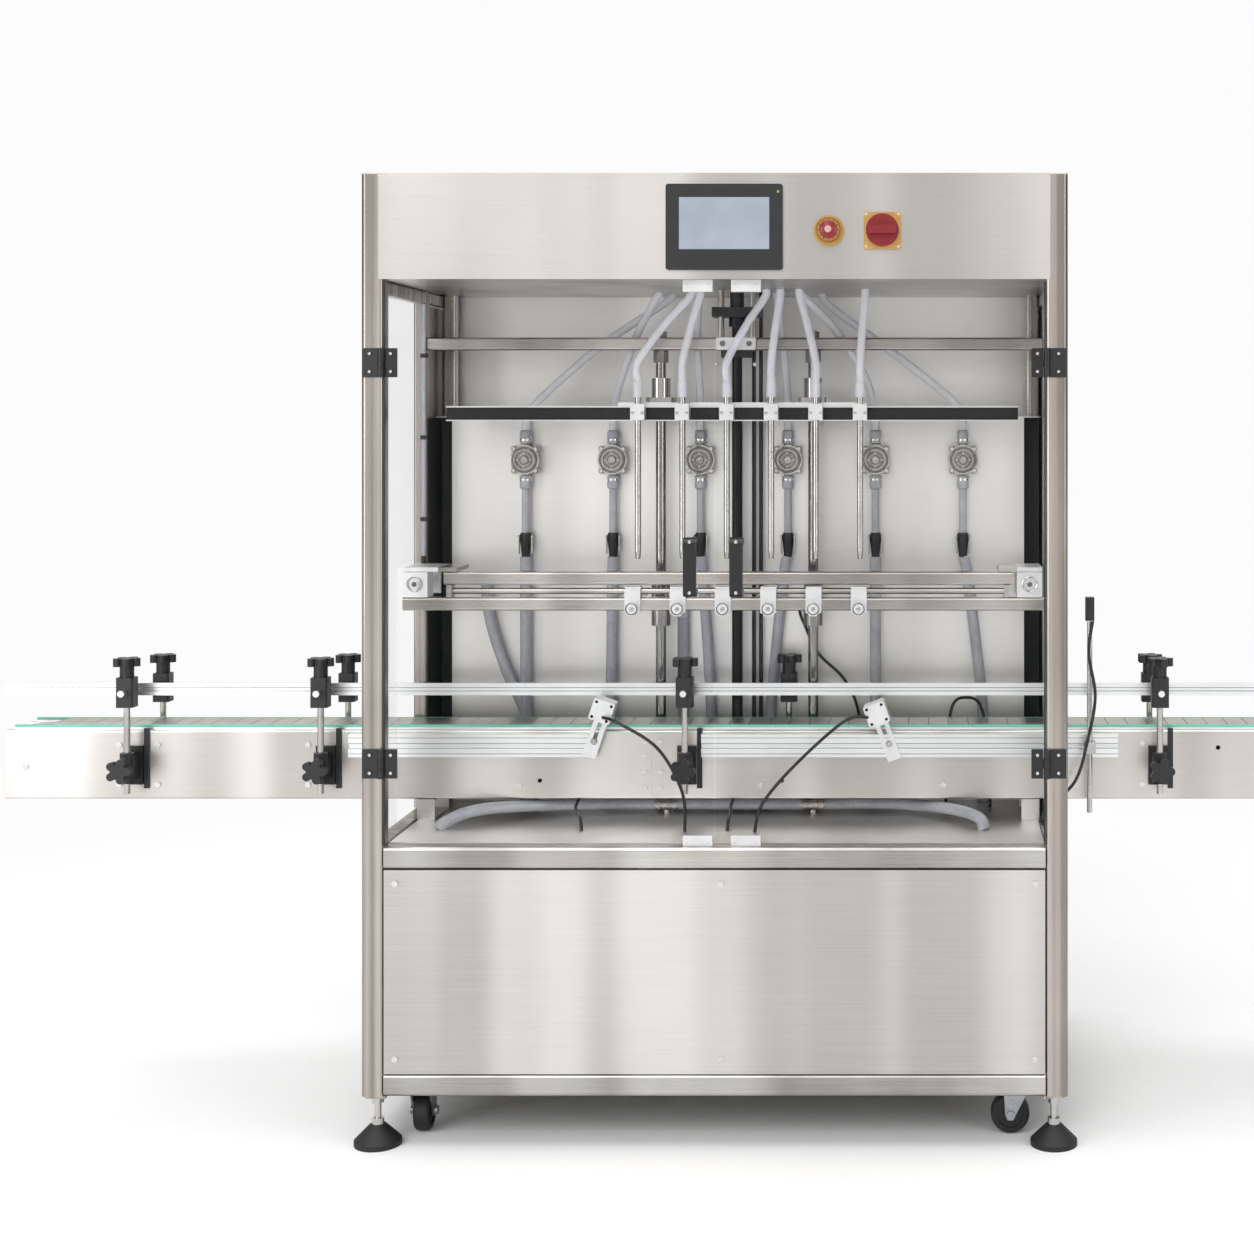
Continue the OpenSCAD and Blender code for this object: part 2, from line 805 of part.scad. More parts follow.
// Motor in the header, its neck through the ceiling, its plate on the hangers and the screw's lower flange
motor_plate_z = cross_z + slim + motor_rise;
module lift_motor() color("dimgray") {
    y = back(rod_back);
    difference() {
        span([lift_x - motor_plate_w / 2, lift_x + motor_plate_w / 2],
            [y - motor_plate_d / 2, y + motor_plate_d / 2], [motor_plate_z, motor_plate_z + motor_plate_t]);
        for (sx = [-1, 1], sy = [-1, 1])
            along_z(standoff_d + 2 * fit, lift_x + sx * standoff_dx, y + sy * standoff_dy,
                [motor_plate_z - over, motor_plate_z + motor_plate_t + over]);
    }
    along_z(motor_neck_d, lift_x, y, [motor_plate_z + motor_plate_t, ceil_z + sheet + seat]);
    translate([lift_x, y, ceil_z + sheet + seat]) linear_extrude(motor_body_h)
        round_rect(motor_body, motor_body, bezel_r);
    difference() {
        translate([lift_x, y, cross_z - bearing_plate_t - fit]) linear_extrude(bearing_plate_t)
            round_rect(bearing_plate_w, bearing_plate_w * plate_share, bezel_r);
        along_z(screw_d + 2 * fit, lift_x, y, [cross_z - bearing_plate_t - over, cross_z]);
    }
}
module guide_rods() color("silver") {
    for (s = [-1, 1])
        translate([lift_x + s * rod_span / 2, back(rod_back), 0]) {
            cylinder_z(rod_d, [deck_z + seat, cross_z - fit]);
            cylinder_z(stud_d, [cross_z - fit, cross_z + slim + rod_nut_h + bezel_r]);
            ring(rod_nut_d * hex_share, stud_d, [cross_z + slim + fit, cross_z + slim + fit + rod_nut_h], 6);
            for (k = [1, 2])
                ring(rod_nut_d, rod_d, [cross_z - fit - k * rod_nut_h, cross_z - 2 * fit - (k - 1) * rod_nut_h], 6);
            ring(collar_d, rod_d, [collar_z, collar_z + collar_h], $fn);
            ring(collar_d, rod_d, [deck_z + seat, deck_z + seat + bearing_flange_t], $fn);
        }
}
// Nut or collar round a shaft
module ring(d, bore, z, sides) {
    difference() {
        translate([0, 0, z[0]]) cylinder(d = d, h = z[1] - z[0], $fn = sides);
        cylinder_z(bore + 2 * fit, [z[0] - over, z[1] + over]);
    }
}
module cylinder_z(d, z) {
    translate([0, 0, z[0]]) cylinder(d = d, h = z[1] - z[0]);
}
module lift_screw() color("dimgray") {
    translate([lift_x, back(rod_back), 0]) {
        cylinder_z(screw_d, [deck_z + seat, motor_plate_z - seat]);
        ring(coupling_d, screw_d, [motor_plate_z - seat - coupling_h, motor_plate_z - seat], $fn);
        ring(screw_d + 4 * tube_wall, screw_d, [deck_z + seat, deck_z + bearing_plate_t], $fn);
    }
}

// Extruded carriage beam, grooved on both faces
module nozzle_beam() color("dimgray") {
    x_end = half_w - beam_end;
    d = beam_d / 2;
    h = beam_h / 2;
    translate([-x_end, back(beam_back) + d, beam_low + h]) rotate([90, 0, 90]) linear_extrude(2 * x_end)
        difference() {
            square([beam_d, beam_h], center = true);
            for (s = [-1, 1])
                translate([s * (d - beam_groove / 2 + over / 2), 0])
                    square([beam_groove + over, beam_h - 2 * beam_lip], center = true);
        }
}
plate_low_z = beam_low + beam_h + weld;
module carriage_fittings() color("silver") {
    y = back(rod_back);
    rod_xs = [lift_x - rod_span / 2, lift_x + rod_span / 2];
    flange_z = plate_low_z + carriage_plate_t + bearing_flange_t;
    difference() {
        union() {
            span([plate_x[0] - clamp_w / 2, plate_x[1] + clamp_w / 2], [back(beam_back), back(carriage_back)],
                [plate_low_z, plate_low_z + carriage_plate_t]);
            for (x = rod_xs) {
                along_z(bearing_d, x, y, [plate_low_z + carriage_plate_t, flange_z + bearing_h]);
                intersection() {
                    along_z(bearing_flange_d, x, y, [plate_low_z + carriage_plate_t, flange_z]);
                    span([x - bearing_flange_d, x + bearing_flange_d], [y - bearing_d / 2, y + bearing_d / 2],
                        [plate_low_z, flange_z]);
                }
            }
            along_z(nut_d, lift_x, y, [plate_low_z - nut_h, plate_low_z]);
        }
        for (x = concat(rod_xs, [lift_x]))
            along_z(rod_d + 2 * fit, x, y, [plate_low_z - nut_h - over, flange_z + bearing_h + over]);
    }
    for (i = [0:nozzle_count - 1])
        nozzle_clamp(nozzle_x(i));
}
// Split clamp block that holds a nozzle tube to the beam's face
module nozzle_clamp(x) {
    z = beam_low + clamp_rise;
    difference() {
        span([x - clamp_w / 2, x + clamp_w / 2], [back(beam_back) - clamp_d, back(beam_back) - fit],
            [z, z + clamp_h]);
        along_z(nozzle_d + 2 * fit, x, back(lane_back), [z - over, z + clamp_h + over]);
        span([x - clamp_w, x + clamp_w], [back(lane_back) - clamp_slot / 2, back(lane_back) + clamp_slot / 2],
            [z - over, z + clamp_h + over]);
    }
}
module nozzles() color("silver") {
    for (i = [0:nozzle_count - 1])
        translate([nozzle_x(i), back(lane_back), 0]) rotate_extrude() difference() {
            polygon([[0, tip_z], [nozzle_tip_d / 2, tip_z], [nozzle_d / 2, tip_z + nozzle_tip_h],
                [nozzle_d / 2, cuff_z], [cuff_d / 2, cuff_z], [cuff_d / 2, cuff_z + cuff_h * cuff_share],
                [hose_d / 2, cuff_z + cuff_h], [0, cuff_z + cuff_h]]);
            translate([-over, tip_z - over]) square([over + nozzle_bore / 2, cuff_z + cuff_h - tip_z - over]);
        }
}

// Fixed beam of the neck locator, carried by the mid posts
module neck_beam() color("silver") {
    x_end = half_w - neck_end;
    arm = slim / 2;
    y0 = back(neck_front);
    tube_x(slim, [-x_end, x_end], y0 + slim / 2, neck_z + slim / 2);
    both_x() tube_y(arm, x_end - arm / 2, [y0 + slim + weld, back(mid_back - weld)], neck_z + slim / 2);
    for (s = [0, 1]) {
        x = block_x(s);
        difference() {
            span([x - guide_w / 2, x + guide_w / 2], [y0 + over, y0 + over + guide_d],
                [neck_z + slim + weld, neck_z + slim + weld + guide_w]);
            along_y(shaft_d + 2 * fit, x, [y0, y0 + guide_d + 2 * over], shaft_z);
            translate([x, y0 + over, shaft_z]) rotate([90, 0, 0])
                cylinder(d = boss_d, h = over, center = true);
        }
    }
}
shaft_z = neck_z + slim + weld + shaft_rise - over;
function block_x(s) = s == 0 ? -half_w + neck_end + block_in[0] : half_w - neck_end - block_in[1];
// Sliding frame: two shafts, rear cheeks, bracket plates, the upper bar and the fork rod
module neck_slide() color("silver") {
    y0 = back(neck_front);
    bar_z = neck_z + slide_bar_rise;
    bar_end = half_w - neck_end - slide_bar_in;
    tube_x(slim, [-bar_end, bar_end], y0 + slim / 2, bar_z + slim / 2);
    for (s = [0, 1]) {
        x = block_x(s);
        toward = s == 0 ? 1 : -1;
        rear = y0 + shaft_ends[1];
        top = neck_z + slim + weld + guide_w + over;
        along_y(shaft_d, x, [y0 + shaft_ends[0], rear], shaft_z);
        span([x - guide_w / 2, x + guide_w / 2], [rear + fit, rear + cheek_t],
            [shaft_z - guide_w / 2, top + top_plate_t]);
        outer = x - toward * guide_w / 2;
        inner = toward * (slim - bar_end);
        span([min(outer, inner), max(outer, inner)], [y0, rear - fit], [top, top + top_plate_t]);
        lug = -toward * (bar_end - fork_lug_t);
        span([lug - fork_lug_t / 2, lug + fork_lug_t / 2],
            [y0 + slim / 2 - fork_rod_d, y0 + slim / 2 + fork_rod_d],
            [fork_rod_z - fork_rod_d * lug_grip_share, bar_z - fit]);
    }
    rod_end = bar_end - fork_lug_t - fork_lug_t / 2;
    along_x(fork_rod_d, [-rod_end, rod_end], y0 + slim / 2, fork_rod_z + fork_rod_d / 2 + weld);
}
// Fork clamps that centre the bottle necks under the nozzles
module neck_forks() color("silver") {
    for (i = [0:nozzle_count - 1])
        translate([nozzle_x(i), back(neck_front), 0]) fork_clamp();
}
module fork_clamp() {
    rod_z = fork_rod_z + fork_rod_d / 2 + weld;
    lane = lane_back - neck_front;
    plate_z = neck_z + slim + over;
    difference() {
        span([-fork_w / 2, fork_w / 2], [0, slim], [plate_z, rod_z + fork_rod_d / 2 + fork_front_t / 2]);
        along_x(fork_rod_d + 2 * fit, [-fork_w, fork_w], slim / 2, rod_z);
        span([-fork_w, fork_w], [slim / 2, slim + over], [rod_z - clamp_slot / 2, rod_z + clamp_slot / 2]);
    }
    plate = [plate_z, plate_z + fork_plate_t];
    gap = fork_notch / 2;
    span([weld - gap, gap - weld], [slim + fit, lane - gap], plate);
    for (x = [[-fork_plate_w / 2, -gap], [gap, fork_plate_w / 2]])
        span(x, [slim + fit, lane + fork_rod_d], plate);
    span([-fork_w / 2, fork_w / 2], [-fork_front_t - fit, -fit],
        [plate_z + fork_h - fork_drop, plate_z + fork_h]);
    knob_z = plate_z + fork_h - fork_drop + fork_rod_d * fork_knob_share;
    translate([0, -fork_front_t - 2 * fit, knob_z]) rotate([90, 0, 0])
        cylinder(d = fork_knob_d, h = fork_knob_t, $fn = 6);
}

// Pumps on the back wall, with ears, cap and ports
module pump_heads() color("silver") {
    for (i = [0:pump_count - 1])
        translate([pump_x(i), back(panel_back), pump_z]) rotate([90, 0, 0]) pump_head();
}
module pump_head() {
    difference() {
        union() {
            cylinder(d = pump_d, h = pump_depth - pump_cap_t);
            cylinder(d = pump_d - pump_cap_t * 2, h = pump_depth);
            for (a = [45:90:315])
                rotate([0, 0, a]) translate([pump_ear_r - pump_ear_d / 2, 0, pump_depth / 2]) {
                    cylinder(d = pump_ear_d, h = pump_cap_t * 2);
                    translate([-pump_ear_d, -pump_ear_d / 2, 0])
                        cube([pump_ear_d, pump_ear_d, pump_cap_t * 2]);
                }
            translate([0, 0, pump_depth / 2]) rotate([90, 0, 0])
                cylinder(d = pump_port_d, h = 2 * pump_port_h, center = true);
        }
        for (ring = [pump_cap_d, pump_d - pump_cap_t * 4])
            translate([0, 0, pump_depth - sheet]) difference() {
                cylinder(d = ring, h = sheet + over);
                translate([0, 0, -over]) cylinder(d = ring - 2 * sheet, h = sheet + 3 * over);
            }
    }
    translate([0, 0, -pump_spigot]) cylinder(d = pump_spigot_d, h = pump_spigot + over);
}
module pump_motors() color("dimgray") {
    for (i = [0:pump_count - 1])
        translate([pump_x(i), back(panel_back + pump_spigot + seat), pump_z]) rotate([-90, 0, 0])
            cylinder(d = pump_motor_d, h = pump_motor_l - sheet * 4);
}
// Tapered quick couplings in the suction lines
module pump_couplings() color("dimgray") {
    for (i = [0:pump_count - 1])
        translate([pump_x(i), back(pump_line), quick_z]) rotate_extrude()
            polygon([for (q = quick_shares) [q[0] * quick_d, q[1] * quick_h]]);
    for (x = tee_x)
        hose_tee(x);
}
// Tee of the feed line: run, clamp rings and its branch down to the deck
module hose_tee(x) {
    y = back(tee_back);
    body = tee_l * tee_body_share;
    along_x(feed_hose_d, [x - tee_l / 2 + fit, x + tee_l / 2 - fit], y, tee_z);
    along_x(feed_hose_d + 2 * tube_wall, [x - body / 2, x + body / 2], y, tee_z);
    for (s = [-1, 1]) {
        clamp_x = x + s * tee_l * tee_clamp_share;
        along_x(feed_hose_d + 3 * tube_wall, [clamp_x - tee_clamp_w / 2, clamp_x + tee_clamp_w / 2], y,
            tee_z);
    }
    along_z(branch_d, x, y, [deck_z + seat, tee_z]);
}

// Routes of the hoses and cables: X, setback behind the front plane, height
tee_x = [-125, 158];
tee_l = 44;
tee_rise = 18;
tee_z = deck_z + tee_rise;
tee_back = 300;
tee_body_share = 0.4;
tee_clamp_share = 0.36;
tee_clamp_w = 8;
branch_d = 15.4;
pump_lean = [0, -4, 22, -34, 0, 40];
pump_tops = [[[-421, 407, 1278], [-415, 408, 1310], [-382, 412, 1350], [-273, 424, 1447],
    [-150, 430, 1530], [-129, 430, 1551]],
    [[-247, 407, 1278], [-245, 404, 1320], [-226, 398, 1390], [-193, 396, 1477], [-152, 396, 1551]],
    [[-73, 407, 1278], [-73, 405, 1340], [-78, 402, 1440], [-76, 402, 1551]],
    [[101, 407, 1278], [101, 405, 1340], [92, 402, 1440], [78, 402, 1551]],
    [[275, 407, 1278], [273, 404, 1320], [252, 398, 1390], [196, 396, 1477], [125, 396, 1551]],
    [[449, 407, 1278], [446, 408, 1310], [420, 412, 1345], [300, 424, 1440], [190, 430, 1520],
    [165, 430, 1551]]];
// Course of a nozzle hose: share of the way across and share of the rise
nozzle_hose_shares = [[0, 0], [0, 0.2], [0.5, 0.6], [1, 0.92], [1, 1]];
nozzle_tops = [[-81, 300], [-61, 300], [65, 300], [94, 300], [132, 300], [258, 300]];
manifold_left = [[-530, 150, 537], [-522, 158, 556], [-440, 225, 561], [-330, 288, 556],
    [-240, 300, 555], [-147, 300, 555]];
manifold_right = [[180, 300, 555], [260, 300, 556], [345, 288, 556], [430, 215, 561], [476, 160, 556],
    [484, 152, 537]];
spare_hose = [[-500, 410, 985], [-492, 410, 900], [-460, 410, 800], [-415, 410, 690], [-408, 410, 537]];
gate_cables = [[[-228, 170, 742], [-196, 150, 735], [-120, 134, 690], [-74, 130, 610],
    [-69, 130, 537]],
    [[268, 170, 742], [225, 152, 738], [135, 138, 660], [75, 130, 590], [60, 128, 537]]];
loose_cables = [[[-285, 246, 577], [-288, 225, 562], [-268, 160, 556], [-262, 140, 537]],
    [[8, 246, 577], [6, 215, 561], [8, 160, 552], [8, 140, 537]],
    [[415, 362, 537], [417, 362, 650], [428, 362, 735], [455, 362, 752], [484, 362, 735],
    [500, 362, 650], [502, 362, 537]],
    [[125, 424, 925], [125, 402, 917], [136, 386, 892], [164, 386, 835], [217, 390, 780],
    [245, 395, 700], [250, 395, 537]],
    [[690, 191, 920], [682, 186, 860], [694, 184, 780], [680, 180, 700], [656, 184, 620],
    [606, 205, 566], [592, 205, 537]]];
loose_starts = [down, down, up, outward, down];
cable_d = 6;
trunk_d = 8;
trunk_x = [34, 48];
trunk_back = 401;
conduit_d = 25;
conduit_x = -107;
conduit_top = 925;
side_hose_d = 8;
side_hose_low = 1030;
clip_z = [1100, 1260, 1420];
clip_h = 8;

// Route in the part's frame, its end points pulled back a seat from what they meet
function place(p, low, high) = [for (i = [0:len(p) - 1])
    [p[i][0], back(p[i][1]), p[i][2] + (i == 0 ? low : i == len(p) - 1 ? high : 0)]];

module hoses() color("aliceblue", 0.6) {
    for (i = [0:pump_count - 1]) {
        x = pump_x(i);
        sleeve_out = pump_port_h + sleeve_len;
        along_z(sleeve_d, x, back(pump_line), [pump_z + pump_port_h + fit, pump_z + sleeve_out]);
        along_z(sleeve_d, x, back(pump_line), [pump_z - sleeve_out, pump_z - pump_port_h - fit]);
        swept(smooth(place(pump_tops[i], seat, -seat), 2), hose_d, hose_sides, up, up);
        along_z(hose_d, x, back(pump_line), [quick_z + quick_h + fit, pump_z - sleeve_out - fit]);
        if (pump_lean[i] == 0)
            along_z(feed_hose_d, x, back(pump_line), [deck_z + seat, quick_z - fit]);
        else
            swept([[x + pump_lean[i], back(pump_line), deck_z + seat],
                [x + pump_lean[i], back(pump_line), belt_z],
                [x + pump_lean[i] / 4, back(pump_line), quick_z - 2 * feed_hose_d],
                [x, back(pump_line), quick_z - fit]], feed_hose_d, hose_sides, up, up);
    }
    swept(smooth(place(manifold_left, seat, 0), 3), feed_hose_d, hose_sides, up, right);
    along_x(feed_hose_d, [tee_x[0] + tee_l / 2, tee_x[1] - tee_l / 2], back(tee_back), tee_z);
    swept(smooth(place(manifold_right, 0, seat), 3), feed_hose_d, hose_sides, right, down);
    swept(smooth(place(spare_hose, 0, seat), 2), feed_hose_d, hose_sides, down, down);
}
module nozzle_hoses() color("aliceblue", 0.6) {
    low = cuff_z + cuff_h + fit * 2;
    rise = ceil_z - seat * 2 - low;
    for (i = [0:nozzle_count - 1]) {
        top = nozzle_tops[i];
        x = nozzle_x(i);
        route = [for (q = nozzle_hose_shares)
            [x + (top[0] - x) * q[0], back(lane_back + (top[1] - lane_back) * q[0]), low + rise * q[1]]];
        swept(smooth(route, 2), hose_d, hose_sides, up, up);
    }
}
module cables() color("dimgray") {
    for (p = gate_cables)
        swept(smooth(place(p, 0, seat), 3), cable_d, cable_sides, outward, down);
    for (i = [0:len(loose_cables) - 1])
        swept(smooth(place(loose_cables[i], loose_starts[i] == down ? -seat : seat, seat), 2), cable_d,
            cable_sides, loose_starts[i], down);
    for (x = trunk_x)
        along_z(trunk_d, x, back(trunk_back), [deck_z + seat, ceil_z - seat]);
    along_z(conduit_d, conduit_x, back(pump_line), [deck_z + seat, conduit_top]);
    y = back(mid_back - side_hose_d / 2 - seat);
    x = -half_w + slim / 2 + window_t / 2 + side_hose_d / 2 + over;
    along_z(side_hose_d, x, y, [side_hose_low, ceil_z - slim - seat]);
    for (z = clip_z)
        span([x - side_hose_d / 2 - seat, x + side_hose_d], [y - side_hose_d / 2 - tube_wall, y - tube_wall],
            [z, z + clip_h]);
    along_z(side_hose_d + tube_wall, x, y - tube_wall,
        [side_hose_low - 2 * side_hose_d, side_hose_low + tube_wall]);
}

// Conveyor bed: two channel sides, end caps, cross bars, bearings and supports
module channel(h, flange, t, r) {
    intersection() {
        difference() {
            round_rect(2 * flange, h, r);
            square([2 * (flange - t), h - 2 * t], center = true);
        }
        translate([0, -h / 2]) square([flange, h]);
    }
}
module side_plate(x0, x1, flip) {
    y = flip > 0 ? back(conv_rear - flange_w) : back(conv_front + flange_w);
    translate([x0, y, plate_low + plate_h / 2]) mirror([0, flip > 0 ? 0 : 1, 0]) rotate([90, 0, 90])
        linear_extrude(x1 - x0) channel(plate_h, flange_w, plate_t, plate_r);
}
module conveyor_bed() color("silver") {
    inner = [back(conv_front + plate_t) + weld, back(conv_rear - plate_t) - weld];
    difference() {
        union() {
            side_plate(-conv_half, splice_x - splice_gap / 2, -1);
            side_plate(splice_x + splice_gap / 2, conv_half, -1);
        }
        for (p = plate_holes)
            along_y(plate_hole_d, p[0], [back(conv_front) - over, back(conv_front + plate_t) + over],
                plate_top - p[1]);
    }
    difference() {
        side_plate(-conv_half, conv_half, 1);
        along_y(axle_d + 2 * fit, sprocket_x, [back(conv_rear - plate_t) - over, back(conv_rear) + over],
            sprocket_z);
    }
    for (s = [-1, 1]) {
        end = s * (conv_half - plate_t / 2);
        span([end - plate_t / 2, end + plate_t / 2], inner, [plate_low + plate_t + weld, pin_z - plate_r]);
        for (y = [inner[0], inner[1] - bearing_ring_t])
            difference() {
                along_y(bearing_ring_d, s * sprocket_x, [y, y + bearing_ring_t], sprocket_z);
                along_y(axle_d + 2 * fit, s * sprocket_x, [y - over, y + bearing_ring_t + over], sprocket_z);
            }
    }
    bar_z = pin_z - cross_bar_drop;
    for (i = [0:cross_bars - 1]) {
        x = (i - (cross_bars - 1) / 2) * (2 * sprocket_x - 4 * sprocket_d) / (cross_bars - 1);
        span([x - cross_bar_w / 2, x + cross_bar_w / 2], inner, [bar_z, bar_z + cross_bar_t]);
    }
    for (s = [-1, 1]) {
        x = s * (half_w - support_in);
        translate([x - support_w / 2, back(lane_back), (deck_z + plate_low) / 2]) rotate([90, 0, 90])
            linear_extrude(support_w) difference() {
                square([conv_w, plate_low - deck_z - 2 * seat], center = true);
                square([conv_w - 2 * plate_t, plate_low - deck_z - 2 * plate_t], center = true);
            }
    }
}
// Wear strips: the edge strips beside the slats, the carrying strips under them and the return strips
module wear_strips() color("seagreen") {
    x_end = conv_half - flange_w;
    run = sprocket_x - 2 * sprocket_d + cross_bar_w / 2;
    bar_top = pin_z - cross_bar_drop + cross_bar_t + weld;
    carry_top = belt_z - slat_t - seat;
    for (s = [-1, 1]) {
        edge = back(lane_back) + s * (conv_w / 2 - strip_in - strip_w / 2);
        span([-x_end, x_end], [edge - strip_w / 2, edge + strip_w / 2], [plate_top + weld, belt_z]);
        mid = back(lane_back) + s * (slat_w / 2 - carry_w);
        span([-run, run], [mid - carry_w / 2, mid + carry_w / 2], [bar_top, carry_top]);
        low = back(lane_back) + s * (conv_w / 2 - plate_t - carry_w);
        span([-run, run], [low - carry_w / 2 - weld, low + carry_w - 2 * weld],
            [plate_low + plate_t + weld, sprocket_z - chord_r - slat_drop - seat]);
    }
}
// Endless slat chain, one link for each pitch: slat, tongue and hinge eye
module link() {
    translate([0, 0, slat_drop - slat_t / 2])
        cube([pitch - slat_gap, slat_w, slat_t], center = true);
    translate([0, -tongue_w / 2, 0]) cube([pitch / 2, tongue_w, slat_drop - slat_t + over / 2]);
    translate([pitch / 2, tongue_w / 2, 0]) rotate([90, 0, 0]) cylinder(d = eye_d, h = tongue_w);
}
module slat_chain() color("silver") translate([0, back(lane_back), 0]) {
    for (i = [0:top_slats - 1])
        translate([(i + 0.5) * pitch - sprocket_x, 0, pin_z]) link();
    for (i = [0:top_slats])
        translate([(i - top_slats / 2) * pitch, 0, sprocket_z - chord_r]) rotate([0, 180, 0]) link();
    for (i = [0:wrap_slats - 1]) {
        a = 90 - wrap_step * (i + 0.5);
        translate([sprocket_x, 0, sprocket_z]) rotate([0, 90 - a, 0]) translate([0, 0, chord_r]) link();
        translate([-sprocket_x, 0, sprocket_z]) rotate([0, a - 90, 0]) translate([0, 0, chord_r]) link();
    }
}
module sprocket_on_shaft(x, y1) {
    difference() {
        union() {
            along_y(sprocket_d, x, [back(lane_back) - sprocket_w / 2, back(lane_back) + sprocket_w / 2],
                sprocket_z);
            along_y(axle_d, x, [back(conv_front + plate_t) + 2 * weld, y1], sprocket_z);
        }
        for (k = [0:teeth - 1])
            translate([x, back(lane_back), sprocket_z]) rotate([0, k * wrap_step, 0])
                translate([0, 0, pin_r - tooth_notch_d / 2]) rotate([90, 0, 0])
                    cylinder(d = tooth_notch_d, h = sprocket_w + 2 * over, center = true);
    }
}
module drive_shaft() color("silver")
    sprocket_on_shaft(sprocket_x, back(conv_rear) + gearbox[1] * drive_reach_share);
module idler_shaft() color("silver") sprocket_on_shaft(-sprocket_x, back(conv_rear - plate_t) - 2 * weld);
module conveyor_gearmotor() color("lightslategray") {
    y = back(conv_rear) + seat;
    difference() {
        span([sprocket_x - gearbox[0] / 2, sprocket_x + gearbox[0] / 2], [y, y + gearbox[1]],
            [sprocket_z - gearbox[2] / 2, sprocket_z + gearbox[2] / 2]);
        along_y(axle_d + 2 * fit, sprocket_x, [y - over, y + gearbox[1] * drive_bore_share], sprocket_z);
    }
    x = sprocket_x - gearbox[0] / 2;
    motor_y = y + gearbox[1] / 2 + gear_motor_out;
    along_x(gear_flange_d, [x - gear_flange_t, x - fit], motor_y, sprocket_z);
    along_x(gear_motor_d, [x - gear_motor_l, x - gear_flange_t - fit], motor_y, sprocket_z);
}

// Slotted profile on the front plate and slotted guide rail, as drawn sections
module slotted(h, t, groove, depth) {
    difference() {
        square([t, h], center = true);
        for (s = [-1, 1])
            translate([s * (t - depth) / 2, 0]) square([depth + fit, groove], center = true);
    }
}
module conveyor_profiles() color("gainsboro") {
    for (p = profiles)
        translate([p[0], back(conv_front) - seat - profile_t / 2, plate_top - profile_drop - profile_h / 2])
            rotate([90, 0, 90]) linear_extrude(p[1] - p[0])
                slotted(profile_h, profile_t, profile_groove, profile_groove_in);
}
module guide_rail(y, z) {
    x_end = conv_half + rail_end;
    translate([-x_end, y, z]) rotate([90, 0, 90]) linear_extrude(2 * x_end)
        slotted(rail_h, rail_t, rail_slot, rail_t / 4);
}
rail_z = belt_z + rail_rise + rail_h / 2;
rear_rail_z = rail_z - rear_rail_drop;
front_post_y = back(conv_front - front_post_out);
rear_post_y = back(conv_rear + rear_post_out);
module front_rail() color("gainsboro") {
    y = back(lane_back - lane_w / 2 - rail_t / 2);
    guide_rail(y, rail_z);
    for (x = front_posts)
        along_y(post_rod_d, x, [front_post_y - rail_block_d, y - rail_t / 2 - fit], rail_z);
}
module rear_rail() color("gainsboro") {
    y = back(lane_back + lane_w / 2 + rail_t / 2);
    guide_rail(y, rear_rail_z);
    for (x = rear_posts)
        along_y(post_rod_d, x, [y + rail_t / 2 + fit, rear_post_y + rail_block_d], rear_rail_z);
}
// Clamp block on its vertical rod, with a star knob above it
module rail_post(x, y, z) {
    difference() {
        union() {
            translate([x, y, z - rail_block_h / 2]) linear_extrude(rail_block_h)
                round_rect(rail_block_w, rail_block_d, plate_r);
            along_z(post_rod_d, x, y, [plate_top - bracket_drop - post_rod_d, z - rail_block_h / 2 + over]);
            along_z(star_stem_d, x, y, [z + rail_block_h / 2 - over, z + rail_block_h / 2 + star_stem_h]);
            translate([x, y, z + rail_block_h / 2 + star_stem_h - over]) star(star_d, star_t);
        }
        along_y(post_rod_d + 2 * fit, x, [y - rail_block_d, y + rail_block_d], z);
    }
}
// Star knob with round lobes
lobes = 5;
lobe_d_share = 0.32;
star_core_share = 0.62;
lobe_r_share = 0.34;
module star(d, t) {
    linear_extrude(t) {
        circle(d = d * star_core_share);
        for (k = [0:lobes - 1])
            rotate(k * 360 / lobes) translate([d * lobe_r_share, 0]) circle(d = d * lobe_d_share);
    }
}
module front_rail_posts() color("dimgray") {
    for (x = front_posts)
        rail_post(x, front_post_y, rail_z);
}
module rear_rail_posts() color("dimgray") {
    for (x = rear_posts)
        rail_post(x, rear_post_y, rear_rail_z);
}
// Bracket on a side plate: plate, barrel round the vertical rod and clamp screw; -1 is the front
module rail_bracket(x, s) {
    face = s < 0 ? back(conv_front) : back(conv_rear);
    y = s < 0 ? front_post_y : rear_post_y;
    z1 = plate_top - bracket_drop + bracket_h;
    z0 = plate_top - bracket_drop;
    near = face + s * seat;
    difference() {
        union() {
            span([x - bracket_w / 2, x + bracket_w / 2],
                [min(near, near + s * bracket_t), max(near, near + s * bracket_t)], [z0, z1]);
            span([x - bracket_barrel_d / 2, x + bracket_barrel_d / 2], [min(near, y), max(near, y)],
                [z0 + 2 * bracket_t, z1 - 2 * bracket_t]);
            along_z(bracket_barrel_d, x, y, [z0 + bracket_t, z1 - bracket_t]);
        }
        along_z(post_rod_d + 2 * fit, x, y, [z0, z1]);
    }
    if (s < 0) {
        zk = (z0 + z1) / 2;
        yk = y - bracket_barrel_d / 2 - fit;
        along_y(bracket_stem_d, x, [yk - bracket_stem_l, yk], zk);
        translate([x, yk - bracket_stem_l + over, zk]) rotate([90, 0, 0])
            star(bracket_knob_d, bracket_knob_t);
        span([x + bracket_w / 2 + over, x + bracket_w / 2 + over + slot_bar_w], [near - slot_bar_t, near],
            [z0 - bracket_t, z0 - bracket_t + slot_bar_h]);
    }
}
module rail_brackets() color("dimgray") {
    for (x = front_posts)
        rail_bracket(x, -1);
    for (x = rear_posts)
        rail_bracket(x, 1);
}

